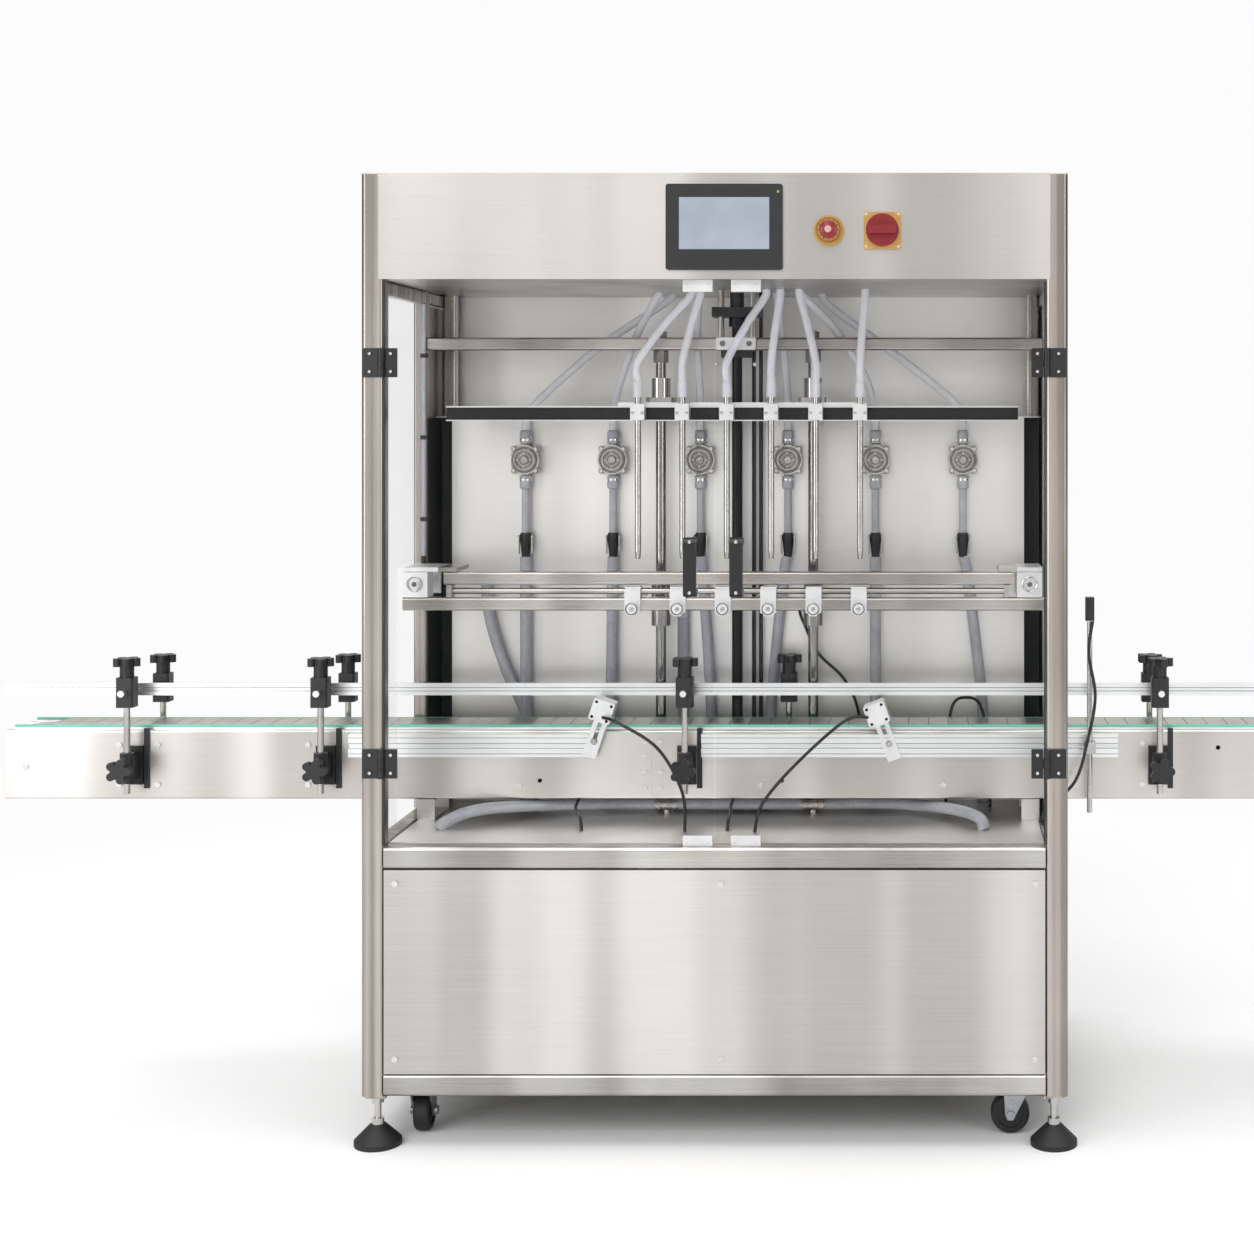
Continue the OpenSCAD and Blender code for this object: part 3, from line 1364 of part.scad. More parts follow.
// Bottle gates: cylinder on a slotted plate, and its rod with a nose
gate_front = back(conv_front) - seat - profile_t - fit;
module gate_frame(k) {
    translate([gate_x[k], 0, belt_z + gate_rise[k]]) rotate([0, gate_tilt[k], 0]) children();
}
module gate_cylinders() color("gainsboro") {
    for (k = [0, 1])
        gate_frame(k) {
            difference() {
                span([-gate_plate_w / 2, gate_plate_w / 2], [gate_front - gate_plate_t, gate_front],
                    [-gate_plate_l, gate_plate_w / 2]);
                span([-gate_slot_w / 2, gate_slot_w / 2],
                    [gate_front - gate_plate_t - over, gate_front + over],
                    [gate_plate_w - gate_plate_l, -gate_body / 2 - gate_slot_w]);
                along_y(gate_rod_d + 2, 0, [gate_front - gate_plate_t - over, gate_front + over], 0);
            }
            difference() {
                translate([0, gate_front - gate_plate_t - fit, 0]) rotate([90, 0, 0])
                    linear_extrude(gate_depth)
                    round_rect(gate_body, gate_body, plate_r);
                along_y(gate_rod_d + 2 * fit, 0, [gate_front - gate_depth, gate_front], 0);
            }
        }
}
module gate_rod(k) {
    gate_frame(k) {
        along_y(gate_rod_d, 0, [gate_front - gate_depth + gate_plate_t, gate_front + seat + over], 0);
        along_y(gate_nose_d, 0, [gate_front + seat, gate_front + seat + gate_nose_l], 0);
    }
}
module gate_rod_left() color("silver") gate_rod(0);
module gate_rod_right() color("silver") gate_rod(1);

// Photo-eye on its rod, clamped to the profile
module photo_eye() color("dimgray") {
    y = back(conv_front - eye_out);
    z = plate_top - profile_drop - profile_h / 2;
    along_z(eye_rod_d, eye_x, y, [eye_z[0], eye_z[1] - eye_head_h]);
    difference() {
        span([eye_x - eye_clamp / 2, eye_x + eye_clamp / 2],
            [y - eye_clamp / 2, back(conv_front) - seat - profile_t - fit],
            [z - eye_clamp / 2, z + eye_clamp / 2]);
        along_z(eye_rod_d + 2 * fit, eye_x, y, [z - eye_clamp, z + eye_clamp]);
    }
    translate([eye_x, y, eye_z[1] - eye_head_h + fit]) linear_extrude(eye_head_h)
        round_rect(eye_head_w, eye_head_d, tube_wall);
}

// Screw heads of the base panel and the conveyor's side plate
screw_head_d = 11;
screw_head_h = 3;
panel_screws = [-569, 12, 571];
panel_screw_z = [160, 472];
plate_screws = [[-1336, 70], [-1158, 28], [-1085, 28], [-1158, 103], [-1085, 103], [-799, 28], [-799, 104],
    [-397, 104], [-158, 23], [-158, 49], [-158, 80], [-158, 110], [-129, 23], [-129, 80], [-129, 110],
    [62, 104], [409, 104], [787, 24], [787, 102]];
module screws() color("silver") {
    for (x = panel_screws, z = panel_screw_z)
        along_y(screw_head_d, x, [-half_d - screw_head_h, -half_d - fit], z);
    for (p = plate_screws)
        along_y(screw_head_d, p[0], [back(conv_front) - screw_head_h, back(conv_front) - fit],
            plate_top - p[1]);
}

// Levelling feet
module foot(sx, sy) {
    translate([sx * (half_w - foot_in), sy * (half_d - foot_in), 0]) {
        rotate_extrude() polygon([[0, 0], [foot_d / 2, 0], [foot_d / 2, foot_rim_h],
            [foot_cone_d / 2, foot_cone_z], [foot_nut_d / 2, foot_cone_z],
            [foot_nut_d / 2, foot_cone_z + foot_nut_h], [stem_d / 2, foot_cone_z + foot_nut_h],
            [stem_d / 2, frame_z + stem_top], [0, frame_z + stem_top]]);
        translate([0, 0, frame_z - weld - foot_plate_t - foot_nut_h - fit])
            cylinder(d = foot_nut_d, h = foot_nut_h, $fn = 6);
    }
}
module foot_front_left() color("dimgray") foot(-1, -1);
module foot_front_right() color("dimgray") foot(1, -1);
module foot_rear_left() color("dimgray") foot(-1, 1);
module foot_rear_right() color("dimgray") foot(1, 1);

// Swivel casters; the left pair points along Y, the right pair along X
module caster_place(sx, sy) {
    translate([sx * caster_x, sy * (half_d - caster_in), 0]) rotate([0, 0, sx < 0 ? 90 : 180]) children();
}
axle_z = wheel_d / 2 + caster_lift;
module caster_fork() {
    plate_z0 = frame_z - weld;
    race_z = plate_z0 - race_h;
    bridge_z = race_z - fork_side_t;
    leg = wheel_w / 2 + fork_gap;
    cylinder_z(king_d, [bridge_z, frame_z + caster_seat_t + king_d / 2]);
    cylinder_z(race_d, [race_z, plate_z0]);
    translate([0, 0, bridge_z]) linear_extrude(fork_side_t + fit)
        translate([-race_d / 2, -leg - fork_side_t]) square([race_d, 2 * (leg + fork_side_t)]);
    for (s = [-1, 1])
        translate([0, s * (leg + fork_side_t / 2), 0]) rotate([90, 0, 0])
            linear_extrude(fork_side_t, center = true)
                polygon([[-race_d / 2, bridge_z + fit], [race_d / 2, bridge_z + fit],
                    for (q = fork_end_shares)
                        [caster_trail + q[0] * axle_nut_d, axle_z + q[1] * axle_nut_d]]);
    along_y(caster_axle_d, caster_trail, [-leg - fork_side_t - over, leg + fork_side_t + over], axle_z);
    for (s = [-1, 1])
        along_y(axle_nut_d, caster_trail, [s > 0 ? leg + fork_side_t - fit : -leg - fork_side_t - axle_nut_t,
            s > 0 ? leg + fork_side_t + axle_nut_t : fit - leg - fork_side_t], axle_z);
}
module caster_wheel() {
    r = wheel_w / 2;
    translate([caster_trail, 0, axle_z]) rotate([90, 0, 0]) rotate_extrude()
        difference() {
            union() {
                translate([0, -r]) square([wheel_d / 2 - bezel_r, wheel_w]);
                translate([0, bezel_r - r]) square([wheel_d / 2, wheel_w - 2 * bezel_r]);
                for (s = [-1, 1])
                    translate([wheel_d / 2 - bezel_r, s * (r - bezel_r)]) circle(r = bezel_r);
            }
            translate([-over, -r - over]) square([caster_axle_d / 2 + fit + over, wheel_w + 2 * over]);
            for (s = [-1, 1])
                translate([hub_d / 2, s * (r + over) - (s > 0 ? tube_wall + over * 2 : 0)])
                    square([wheel_d / 2 - bezel_r * 2 - hub_d / 2, tube_wall + over * 2]);
        }
}
module caster_fork_front_left() color("gray") caster_place(-1, -1) caster_fork();
module caster_fork_front_right() color("gray") caster_place(1, -1) caster_fork();
module caster_fork_rear_left() color("gray") caster_place(-1, 1) caster_fork();
module caster_fork_rear_right() color("gray") caster_place(1, 1) caster_fork();
module caster_wheel_front_left() color("dimgray") caster_place(-1, -1) caster_wheel();
module caster_wheel_front_right() color("dimgray") caster_place(1, -1) caster_wheel();
module caster_wheel_rear_left() color("dimgray") caster_place(-1, 1) caster_wheel();
module caster_wheel_rear_right() color("dimgray") caster_place(1, 1) caster_wheel();

frame();
header_box();
cabinet_panels();
side_windows();
pump_panel();
work_deck();
hmi();
control_plates();
door_hinges();
lift_crossbar();
lift_motor();
guide_rods();
neck_beam();
pump_heads();
pump_motors();
pump_couplings();
hoses();
conveyor_bed();
wear_strips();
slat_chain();
conveyor_gearmotor();
conveyor_profiles();
rail_brackets();
gate_cylinders();
photo_eye();
cables();
screws();
door_left();
door_left_fittings();
door_right();
door_right_fittings();
estop_button();
switch_knob();
nozzle_beam();
carriage_fittings();
nozzles();
nozzle_hoses();
lift_screw();
neck_slide();
neck_forks();
front_rail_posts();
front_rail();
rear_rail_posts();
rear_rail();
gate_rod_left();
gate_rod_right();
drive_shaft();
idler_shaft();
foot_front_left();
foot_front_right();
foot_rear_left();
foot_rear_right();
caster_fork_front_left();
caster_fork_front_right();
caster_fork_rear_left();
caster_fork_rear_right();
caster_wheel_front_left();
caster_wheel_front_right();
caster_wheel_rear_left();
caster_wheel_rear_right();
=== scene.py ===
"""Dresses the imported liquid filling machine.

It gives the CAD nodes their finishes and adds smooth hoses and cables, the screen, screws, facings and the studio.
"""

import logging
import math
from dataclasses import dataclass, field
from enum import Enum

import bpy
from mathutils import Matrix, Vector


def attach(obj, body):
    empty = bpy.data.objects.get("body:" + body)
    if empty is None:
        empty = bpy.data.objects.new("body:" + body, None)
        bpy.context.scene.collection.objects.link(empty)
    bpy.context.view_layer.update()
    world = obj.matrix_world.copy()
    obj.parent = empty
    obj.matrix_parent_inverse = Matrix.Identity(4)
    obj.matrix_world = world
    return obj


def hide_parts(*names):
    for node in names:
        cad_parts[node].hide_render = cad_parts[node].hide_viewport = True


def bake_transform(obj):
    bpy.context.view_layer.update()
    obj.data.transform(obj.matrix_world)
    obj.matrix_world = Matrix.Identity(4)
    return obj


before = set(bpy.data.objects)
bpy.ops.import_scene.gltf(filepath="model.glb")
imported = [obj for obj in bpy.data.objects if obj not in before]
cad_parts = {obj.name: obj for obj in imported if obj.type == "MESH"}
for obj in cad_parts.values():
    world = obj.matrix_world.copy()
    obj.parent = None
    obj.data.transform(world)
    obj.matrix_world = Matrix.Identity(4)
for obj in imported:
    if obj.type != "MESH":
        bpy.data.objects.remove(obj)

log = logging.getLogger("filling_machine")
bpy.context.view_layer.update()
MM = 0.001
IMAGE_PX = 1254
# Distance of the cabinet's front plane from the middle of the machine
FRONT_MM = 400.0
# Range that holds most values of one noise, its core, and the range of two noises added up
NOISE_RANGE = (0.3, 0.7)
NOISE_CORE = (0.34, 0.66)
TWO_NOISES_RANGE = (0.6, 1.4)
BUMP_STRENGTH = 0.35
LEAST_ROUGHNESS = 0.02
# How fast a soft band of painted reflection changes along its length, per metre
BAND_LENGTHWISE = 0.25
# From this metallic value on, a finish keeps the default IOR
METAL_FROM = 0.5
# Edges that bend more than this, in degrees, are drawn sharp in a turned or swept mesh
SHARP_DEG = 38
# Rounding of the CAD nodes' edges, and the least bend in degrees that gets it
EDGE_RADIUS = 0.0005
EDGE_DEG = 50
Point = tuple[float, float, float]
# Turned form: pairs of radius and distance along the axis, in metres
Profile = tuple[tuple[float, float], ...] | list[tuple[float, float]]


class Axis(Enum):
    """Direction that a grain or a screw follows."""

    X = 0
    Y = 1
    Z = 2


def linear(hex_code: str) -> tuple[float, float, float, float]:
    """Turns an sRGB hex colour into linear values.

    Args:
        hex_code: Colour as six hex digits after a hash.

    Returns:
        Linear red, green and blue, with alpha 1.
    """
    channels = [int(hex_code[i : i + 2], 16) / 255 for i in (1, 3, 5)]
    values = [c / 12.92 if c <= 0.04045 else ((c + 0.055) / 1.055) ** 2.4 for c in channels]
    return (values[0], values[1], values[2], 1.0)


def add_node(tree: bpy.types.NodeTree, kind: str, inputs: dict | None = None, **settings: str) -> bpy.types.Node:
    """Adds a shader node with its settings, values and links.

    Args:
        tree: Node tree that gets the node.
        kind: Blender's type name of the node.
        inputs: Socket name or index to a value or to the output socket that feeds it.
        **settings: Attributes of the node.

    Returns:
        The new node.
    """
    node = tree.nodes.new(kind)
    for name, value in settings.items():
        setattr(node, name, value)
    for name, value in (inputs or {}).items():
        if isinstance(value, bpy.types.NodeSocket):
            tree.links.new(value, node.inputs[name])
        else:
            node.inputs[name].default_value = value
    return node


def new_material(name: str) -> tuple[bpy.types.Material, bpy.types.NodeTree]:
    """Makes an empty node material.

    Args:
        name: Material name.

    Returns:
        The material and its cleared node tree.
    """
    material = bpy.data.materials.new(name)
    material.use_nodes = True
    material.node_tree.nodes.clear()
    return material, material.node_tree


@dataclass(frozen=True)
class Finish:
    """One real surface: what it is made of and how it was made."""

    name: str
    colour: str
    second: str
    metallic: float
    roughness: float
    # Size across one mark of the grain or grit, and how much longer than wide it is
    grain_mm: float = 1.0
    stretch: float = 1.0
    along: Axis = Axis.X
    # How far the grain moves roughness and relief
    rough_swing: float = 0.08
    relief_mm: float = 0.05
    # Broad tone changes: their size and how far they mix in the second colour
    cloud_mm: float = 120.0
    cloud_mix: float = 0.5
    alpha: float = 1.0
    transmission: float = 0.0
    ior: float = 1.5
    coat: float = 0.0
    # Soft upright bands of painted reflection, which stand for the studio mirrored in the metal: their width, and how
    # far they darken
    reflection_band_mm: float = 0.0
    reflection_band_mix: float = 0.0

    def build(self) -> bpy.types.Material:
        """Builds the node material, once for each finish.

        Returns:
            The material.
        """
        known = bpy.data.materials.get(self.name)
        if known is not None:
            return known
        material, tree = new_material(self.name)
        add_node(tree, "ShaderNodeOutputMaterial", {"Surface": self.shade(tree)})
        return material

    def shade(self, tree: bpy.types.NodeTree) -> bpy.types.NodeSocket:
        """Adds the finish's nodes.

        Args:
            tree: Node tree of the material.

        Returns:
            The shader's output socket.
        """
        place = add_node(tree, "ShaderNodeTexCoord").outputs["Object"]
        across = 1.0 / (self.grain_mm * MM)
        scale = [across, across, across]
        scale[self.along.value] = across / self.stretch
        grain_place = add_node(tree, "ShaderNodeMapping", {"Vector": place, "Scale": scale}).outputs["Vector"]
        marks = {"Vector": grain_place, "Scale": 1.0, "Detail": 3.0}
        grain = add_node(tree, "ShaderNodeTexNoise", marks).outputs["Fac"]
        cloud = add_node(
            tree,
            "ShaderNodeTexNoise",
            {"Vector": place, "Scale": 1.0 / (self.cloud_mm * MM), "Detail": 2.0},
        ).outputs["Fac"]
        both = add_node(tree, "ShaderNodeMath", {0: grain, 1: cloud}, operation="ADD").outputs[0]
        share = add_node(
            tree,
            "ShaderNodeMapRange",
            {
                "Value": both,
                "From Min": TWO_NOISES_RANGE[0],
                "From Max": TWO_NOISES_RANGE[1],
                "To Min": 0.0,
                "To Max": self.cloud_mix,
            },
        ).outputs["Result"]
        # Painted reflection: soft upright bands that darken the colour towards the second one
        if self.reflection_band_mix > 0:
            share = add_node(tree, "ShaderNodeMath", {0: share, 1: self.bands(tree, place)}, operation="ADD").outputs[0]
        colour = add_node(
            tree,
            "ShaderNodeMix",
            {0: share, 6: linear(self.colour), 7: linear(self.second)},
            data_type="RGBA",
        ).outputs[2]
        rough = add_node(
            tree,
            "ShaderNodeMapRange",
            {
                "Value": grain,
                "From Min": NOISE_RANGE[0],
                "From Max": NOISE_RANGE[1],
                "To Min": max(self.roughness - self.rough_swing, LEAST_ROUGHNESS),
                "To Max": self.roughness + self.rough_swing,
            },
        ).outputs["Result"]
        relief = {"Height": grain, "Strength": BUMP_STRENGTH, "Distance": self.relief_mm * MM}
        bump = add_node(tree, "ShaderNodeBump", relief).outputs["Normal"]
        shader = add_node(
            tree, "ShaderNodeBsdfPrincipled", {"Base Color": colour, "Roughness": rough, "Normal": bump}
        )
        shader.inputs["Metallic"].default_value = self.metallic
        if self.metallic < METAL_FROM:
            shader.inputs["IOR"].default_value = self.ior
        shader.inputs["Alpha"].default_value = self.alpha
        shader.inputs["Transmission Weight"].default_value = self.transmission
        shader.inputs["Coat Weight"].default_value = self.coat
        return shader.outputs["BSDF"]

    def bands(self, tree: bpy.types.NodeTree, place: bpy.types.NodeSocket) -> bpy.types.NodeSocket:
        """Adds the soft upright bands of painted reflection.

        Args:
            tree: Node tree of the material.
            place: Socket that gives the object's own coordinates.

        Returns:
            The socket that says how far the bands darken.
        """
        scale = (1.0 / (self.reflection_band_mm * MM), 1.0 / (self.reflection_band_mm * MM), BAND_LENGTHWISE)
        spread = add_node(tree, "ShaderNodeMapping", {"Vector": place, "Scale": scale}).outputs["Vector"]
        noise = add_node(tree, "ShaderNodeTexNoise", {"Vector": spread, "Scale": 1.0, "Detail": 1.0}).outputs["Fac"]
        return add_node(
            tree,
            "ShaderNodeMapRange",
            {
                "Value": noise,
                "From Min": NOISE_CORE[0],
                "From Max": NOISE_CORE[1],
                "To Min": 0.0,
                "To Max": self.reflection_band_mix,
            },
            interpolation_type="SMOOTHSTEP",
        ).outputs["Result"]


@dataclass(frozen=True)
class Split:
    """Two finishes on one CAD node that meet at a level.

    Args:
        name: Material name.
        below: Finish on the low side of the level.
        above: Finish on the high side.
        axis: Axis that the level is measured on.
        at: The level in metres.
        mirrored: Whether the level counts on both sides of the middle.
    """

    name: str
    below: Finish
    above: Finish
    axis: Axis
    at: float
    mirrored: bool = False

    def build(self) -> bpy.types.Material:
        """Builds the node material, once.

        Returns:
            The material.
        """
        known = bpy.data.materials.get(self.name)
        if known is not None:
            return known
        material, tree = new_material(self.name)
        place = add_node(tree, "ShaderNodeTexCoord").outputs["Object"]
        level = add_node(tree, "ShaderNodeSeparateXYZ", {0: place}).outputs[self.axis.value]
        if self.mirrored:
            level = add_node(tree, "ShaderNodeMath", {0: level}, operation="ABSOLUTE").outputs[0]
        side = add_node(tree, "ShaderNodeMath", {0: level, 1: self.at}, operation="GREATER_THAN").outputs[0]
        mix = add_node(tree, "ShaderNodeMixShader", {0: side, 1: self.below.shade(tree), 2: self.above.shade(tree)})
        add_node(tree, "ShaderNodeOutputMaterial", {"Surface": mix.outputs[0]})
        return material


# Stainless sheet, belt-brushed along X: pale warm grey, hair-fine lines and broad upright bands of painted reflection
SHEET = Finish(
    name="brushed_stainless_sheet", colour="#dedbd8", second="#a5a19c", metallic=1.0, roughness=0.34,
    grain_mm=0.7, stretch=260.0, rough_swing=0.05, relief_mm=0.02, cloud_mm=420.0, cloud_mix=0.30,
    reflection_band_mm=170.0, reflection_band_mix=0.62,
)
# Stainless sheet, brushed along X: the palest steel, for the pump wall and the deck; its paleness is painted light that
# brightens these shaded inner faces, and its upright bands are painted reflection
PAINTED_LIGHT_WALL = Finish(
    name="brushed_stainless_wall_painted_light", colour="#f6f5f3", second="#c3c0bc", metallic=1.0, roughness=0.40,
    grain_mm=0.7, stretch=260.0, rough_swing=0.05, relief_mm=0.02, cloud_mm=420.0, cloud_mix=0.22,
    reflection_band_mm=190.0, reflection_band_mix=0.42,
)
# Square stainless tube, hand-brushed upright: browner than the sheets and drawn darker as painted shade of the dark
# surroundings it mirrors, with narrow dark bands of painted reflection
POST = Finish(
    name="brushed_stainless_post", colour="#c2bbb5", second="#6f6963", metallic=1.0, roughness=0.30,
    grain_mm=0.6, stretch=300.0, along=Axis.Z, rough_swing=0.06, relief_mm=0.03, cloud_mm=300.0,
    cloud_mix=0.35, reflection_band_mm=15.0, reflection_band_mix=0.55,
)
# Square stainless tube, hand-brushed along X: the same steel on every level member, with broad upright bands of painted
# reflection
BAR = Finish(
    name="brushed_stainless_bar", colour="#d0ccc8", second="#7d7873", metallic=1.0, roughness=0.30,
    grain_mm=0.6, stretch=300.0, rough_swing=0.06, relief_mm=0.03, cloud_mm=160.0, cloud_mix=0.45,
    reflection_band_mm=150.0, reflection_band_mix=0.45,
)
# Hardened steel, ground: guide rods drawn darker than the shaft steel as painted shade of the dark surroundings they
# mirror, with a narrow bright line
ROD = Finish(
    name="hardened_guide_rod", colour="#a3a1a0", second="#4b4947", metallic=1.0, roughness=0.14,
    grain_mm=0.6, stretch=0.3, along=Axis.Z, rough_swing=0.04, relief_mm=0.02, cloud_mm=60.0,
)
# Stainless bar, ground and turned: bright, with fine turning marks
SHAFT = Finish(
    name="ground_stainless_shaft", colour="#c9c7c5", second="#77736f", metallic=1.0, roughness=0.18,
    grain_mm=0.6, stretch=0.3, along=Axis.Z, rough_swing=0.05, relief_mm=0.02, cloud_mm=60.0,
)
# Stainless strip, rolled: dull slats, scuffed along their travel
CHAIN = Finish(
    name="rolled_stainless_slat", colour="#bdb8b2", second="#857f79", metallic=1.0, roughness=0.36,
    stretch=8.0, relief_mm=0.04, cloud_mm=45.0, cloud_mix=0.6,
)
# Aluminium, extruded and clear-anodised: pale satin with die lines along X; the same pale metal draws the carriage
# beam's edges as painted highlight
ALUMINIUM_AND_EDGE_HIGHLIGHT = Finish(
    name="anodised_aluminium_and_edge_highlight", colour="#eeeff0", second="#bcbfc1", metallic=1.0, roughness=0.36,
    grain_mm=0.8, stretch=160.0, rough_swing=0.05, relief_mm=0.03, cloud_mix=0.4,
)
# Aluminium, die-cast and tumbled: almost white blocks with a soft sheen
BLOCK = Finish(
    name="tumbled_aluminium_block", colour="#eceded", second="#c0c2c4", metallic=0.8, roughness=0.42,
    grain_mm=1.2, cloud_mm=25.0,
)
# Glass-filled nylon, moulded: near black with a fine spark texture
NYLON = Finish(
    name="moulded_black_nylon", colour="#141416", second="#222326", metallic=0.0, roughness=0.46,
    grain_mm=0.9, cloud_mm=20.0, cloud_mix=0.6,
)
# ABS, moulded: black and a little glossier than the nylon
ABS_BLACK = Finish(
    name="moulded_black_abs", colour="#0f1012", second="#1b1c1f", metallic=0.0, roughness=0.34,
    rough_swing=0.05, relief_mm=0.03, cloud_mm=30.0,
)
# Aluminium, black-anodised: a dark satin beam with die lines
BEAM = Finish(
    name="black_anodised_beam", colour="#18181a", second="#2b2b2e", metallic=0.3, roughness=0.38,
    grain_mm=0.8, stretch=160.0, rough_swing=0.05, relief_mm=0.02, cloud_mm=90.0,
)
# Acrylic, cast: clear door panes that show little but their edges
ACRYLIC = Finish(
    name="cast_acrylic_sheet", colour="#23292d", second="#303a40", metallic=0.0, roughness=0.05,
    grain_mm=9.0, rough_swing=0.01, relief_mm=0.004, cloud_mm=400.0, alpha=0.03, ior=1.49,
)
# Acrylic, cast: clear side panes with a faint cool veil of painted reflection
ACRYLIC_SIDE = Finish(
    name="cast_acrylic_side_sheet", colour="#f4f8fa", second="#e2eaf0", metallic=0.0, roughness=0.08,
    grain_mm=9.0, rough_swing=0.01, relief_mm=0.004, cloud_mm=400.0, alpha=0.10, ior=1.49,
)
# Plasticised PVC, extruded: milky, slightly blue, glossy and lightly see-through
PVC = Finish(
    name="clear_pvc_hose", colour="#fafaff", second="#dde0ee", metallic=0.0, roughness=0.16,
    grain_mm=3.0, stretch=4.0, along=Axis.Z, rough_swing=0.05, relief_mm=0.03, cloud_mm=30.0,
    cloud_mix=0.7, alpha=0.60, ior=1.53, coat=0.2,
)
# Plasticised PVC, extruded: grey and less clear, on the hose lines below the pumps
PVC_GREY = Finish(
    name="grey_pvc_hose", colour="#c6c8cf", second="#989ba4", metallic=0.0, roughness=0.18,
    grain_mm=3.0, stretch=4.0, along=Axis.Z, rough_swing=0.05, relief_mm=0.03, cloud_mm=30.0,
    cloud_mix=0.7, alpha=0.80, ior=1.53, coat=0.2,
)
# PVC, extruded over a cable: black with a soft shine
CABLE = Finish(
    name="black_pvc_cable", colour="#0d0e10", second="#1c1e21", metallic=0.0, roughness=0.36,
    grain_mm=1.4, stretch=3.0, along=Axis.Z, rough_swing=0.06, relief_mm=0.03, cloud_mm=15.0,
)
# Polyethylene, extruded: the pale green edge of the wear strips
GREEN = Finish(
    name="extruded_green_polyethylene", colour="#7fcdb8", second="#46a38c", metallic=0.0,
    roughness=0.40, grain_mm=1.8, stretch=60.0, rough_swing=0.05, relief_mm=0.03, cloud_mm=70.0,
)
# ABS, moulded: muted yellow plates under the controls
YELLOW = Finish(
    name="moulded_yellow_abs", colour="#c9a05a", second="#ad8440", metallic=0.0, roughness=0.38,
    rough_swing=0.05, relief_mm=0.03, cloud_mm=12.0,
)
# Nylon, moulded: deep red caps and knobs
RED = Finish(
    name="moulded_red_nylon", colour="#8a1a22", second="#641017", metallic=0.0, roughness=0.33,
    rough_swing=0.05, relief_mm=0.03, cloud_mm=14.0,
)
# Zinc casting, nickel-plated: uneven bright grey. Its grit is drawn 2 mm coarse so that it shows
CAST = Finish(
    name="nickel_plated_casting", colour="#b4b1ad", second="#6f6b67", metallic=1.0, roughness=0.34,
    grain_mm=2.0, rough_swing=0.12, relief_mm=0.12, cloud_mm=14.0, cloud_mix=0.8,
)
# Steel pressing, zinc-plated: cool grey caster forks
ZINC = Finish(
    name="zinc_plated_pressing", colour="#a9adb2", second="#84898f", metallic=1.0, roughness=0.34,
    grain_mm=1.6, stretch=2.0, relief_mm=0.04, cloud_mm=18.0, cloud_mix=0.6,
)
# Rubber, moulded: matt black tyres and feet
RUBBER = Finish(
    name="moulded_black_rubber", colour="#131315", second="#202023", metallic=0.0, roughness=0.60,
    grain_mm=1.4, relief_mm=0.07, cloud_mm=22.0, cloud_mix=0.6,
)
# Steel, black-oxide finish: dark metal with a faint edge light; the same black draws the pump covers' grooves as
# painted shade
BLACK_OXIDE_AND_GROOVE_SHADE = Finish(
    name="black_oxide_and_groove_shade", colour="#19191b", second="#2b2c30", metallic=0.7, roughness=0.36,
    grain_mm=1.6, stretch=40.0, relief_mm=0.04, cloud_mm=60.0, cloud_mix=0.6,
)
# Steel, polished: small bright heads
SCREW = Finish(
    name="polished_screw_steel", colour="#dcdcda", second="#9f9f9e", metallic=1.0, roughness=0.22,
    grain_mm=1.2, rough_swing=0.06, relief_mm=0.03, cloud_mm=8.0,
)
# Screen film behind glass, switched on but idle: flat grey-blue
GLASS_SCREEN = Finish(
    name="idle_screen_glass", colour="#9299a8", second="#a9b0bc", metallic=0.0, roughness=0.16,
    grain_mm=40.0, rough_swing=0.01, relief_mm=0.0, cloud_mm=110.0, cloud_mix=0.8, ior=1.52, coat=0.3,
)
# Steel, thread-rolled: mid grey with a bright crest; on the black lift screw this paler ridge is painted highlight
THREAD_AND_CREST_HIGHLIGHT = Finish(
    name="rolled_thread_and_crest_highlight", colour="#8f8f90", second="#4a4a4c", metallic=1.0, roughness=0.26,
    stretch=4.0, along=Axis.Z, relief_mm=0.03, cloud_mm=12.0, cloud_mix=0.7,
)
# Acrylic, moulded: the green lens of the power lamp
LAMP = Finish(
    name="green_lamp_lens", colour="#7fe08a", second="#57c766", metallic=0.0, roughness=0.25,
    grain_mm=0.6, rough_swing=0.02, relief_mm=0.01, cloud_mm=6.0, transmission=0.3, ior=1.49,
)
# Rubber, extruded: dull black strips; the same black fills the chain's hinge gaps as painted shade
GASKET_AND_GAP_SHADE = Finish(
    name="black_gasket_and_gap_shade", colour="#1b1b1d", second="#29292c", metallic=0.0, roughness=0.58,
    grain_mm=1.2, stretch=12.0, along=Axis.Z, rough_swing=0.06, cloud_mm=30.0,
)
# Painted shade: a nearly black sheet with no shine, standing for the shaded gaps beside the pump wall
PAINTED_SHADE_SHEET = Finish(
    name="painted_shade_rear_sheet", colour="#17181a", second="#202124", metallic=0.0, roughness=0.55,
    grain_mm=2.0, rough_swing=0.06, relief_mm=0.03, cloud_mm=90.0,
)
# Ink on ABS, printed: the brown-amber ring of the stop plate
AMBER = Finish(
    name="printed_amber_ring", colour="#a9793a", second="#7d5424", metallic=0.0, roughness=0.42,
    rough_swing=0.05, relief_mm=0.02, cloud_mm=9.0, cloud_mix=0.6,
)
# Nylon, moulded: a pale rose disc on the centre of the red stop button, a painted highlight
STOP_HIGHLIGHT = Finish(
    name="painted_stop_highlight", colour="#d9a5a6", second="#b9797c", metallic=0.0, roughness=0.30,
    rough_swing=0.05, relief_mm=0.02, cloud_mm=7.0,
)
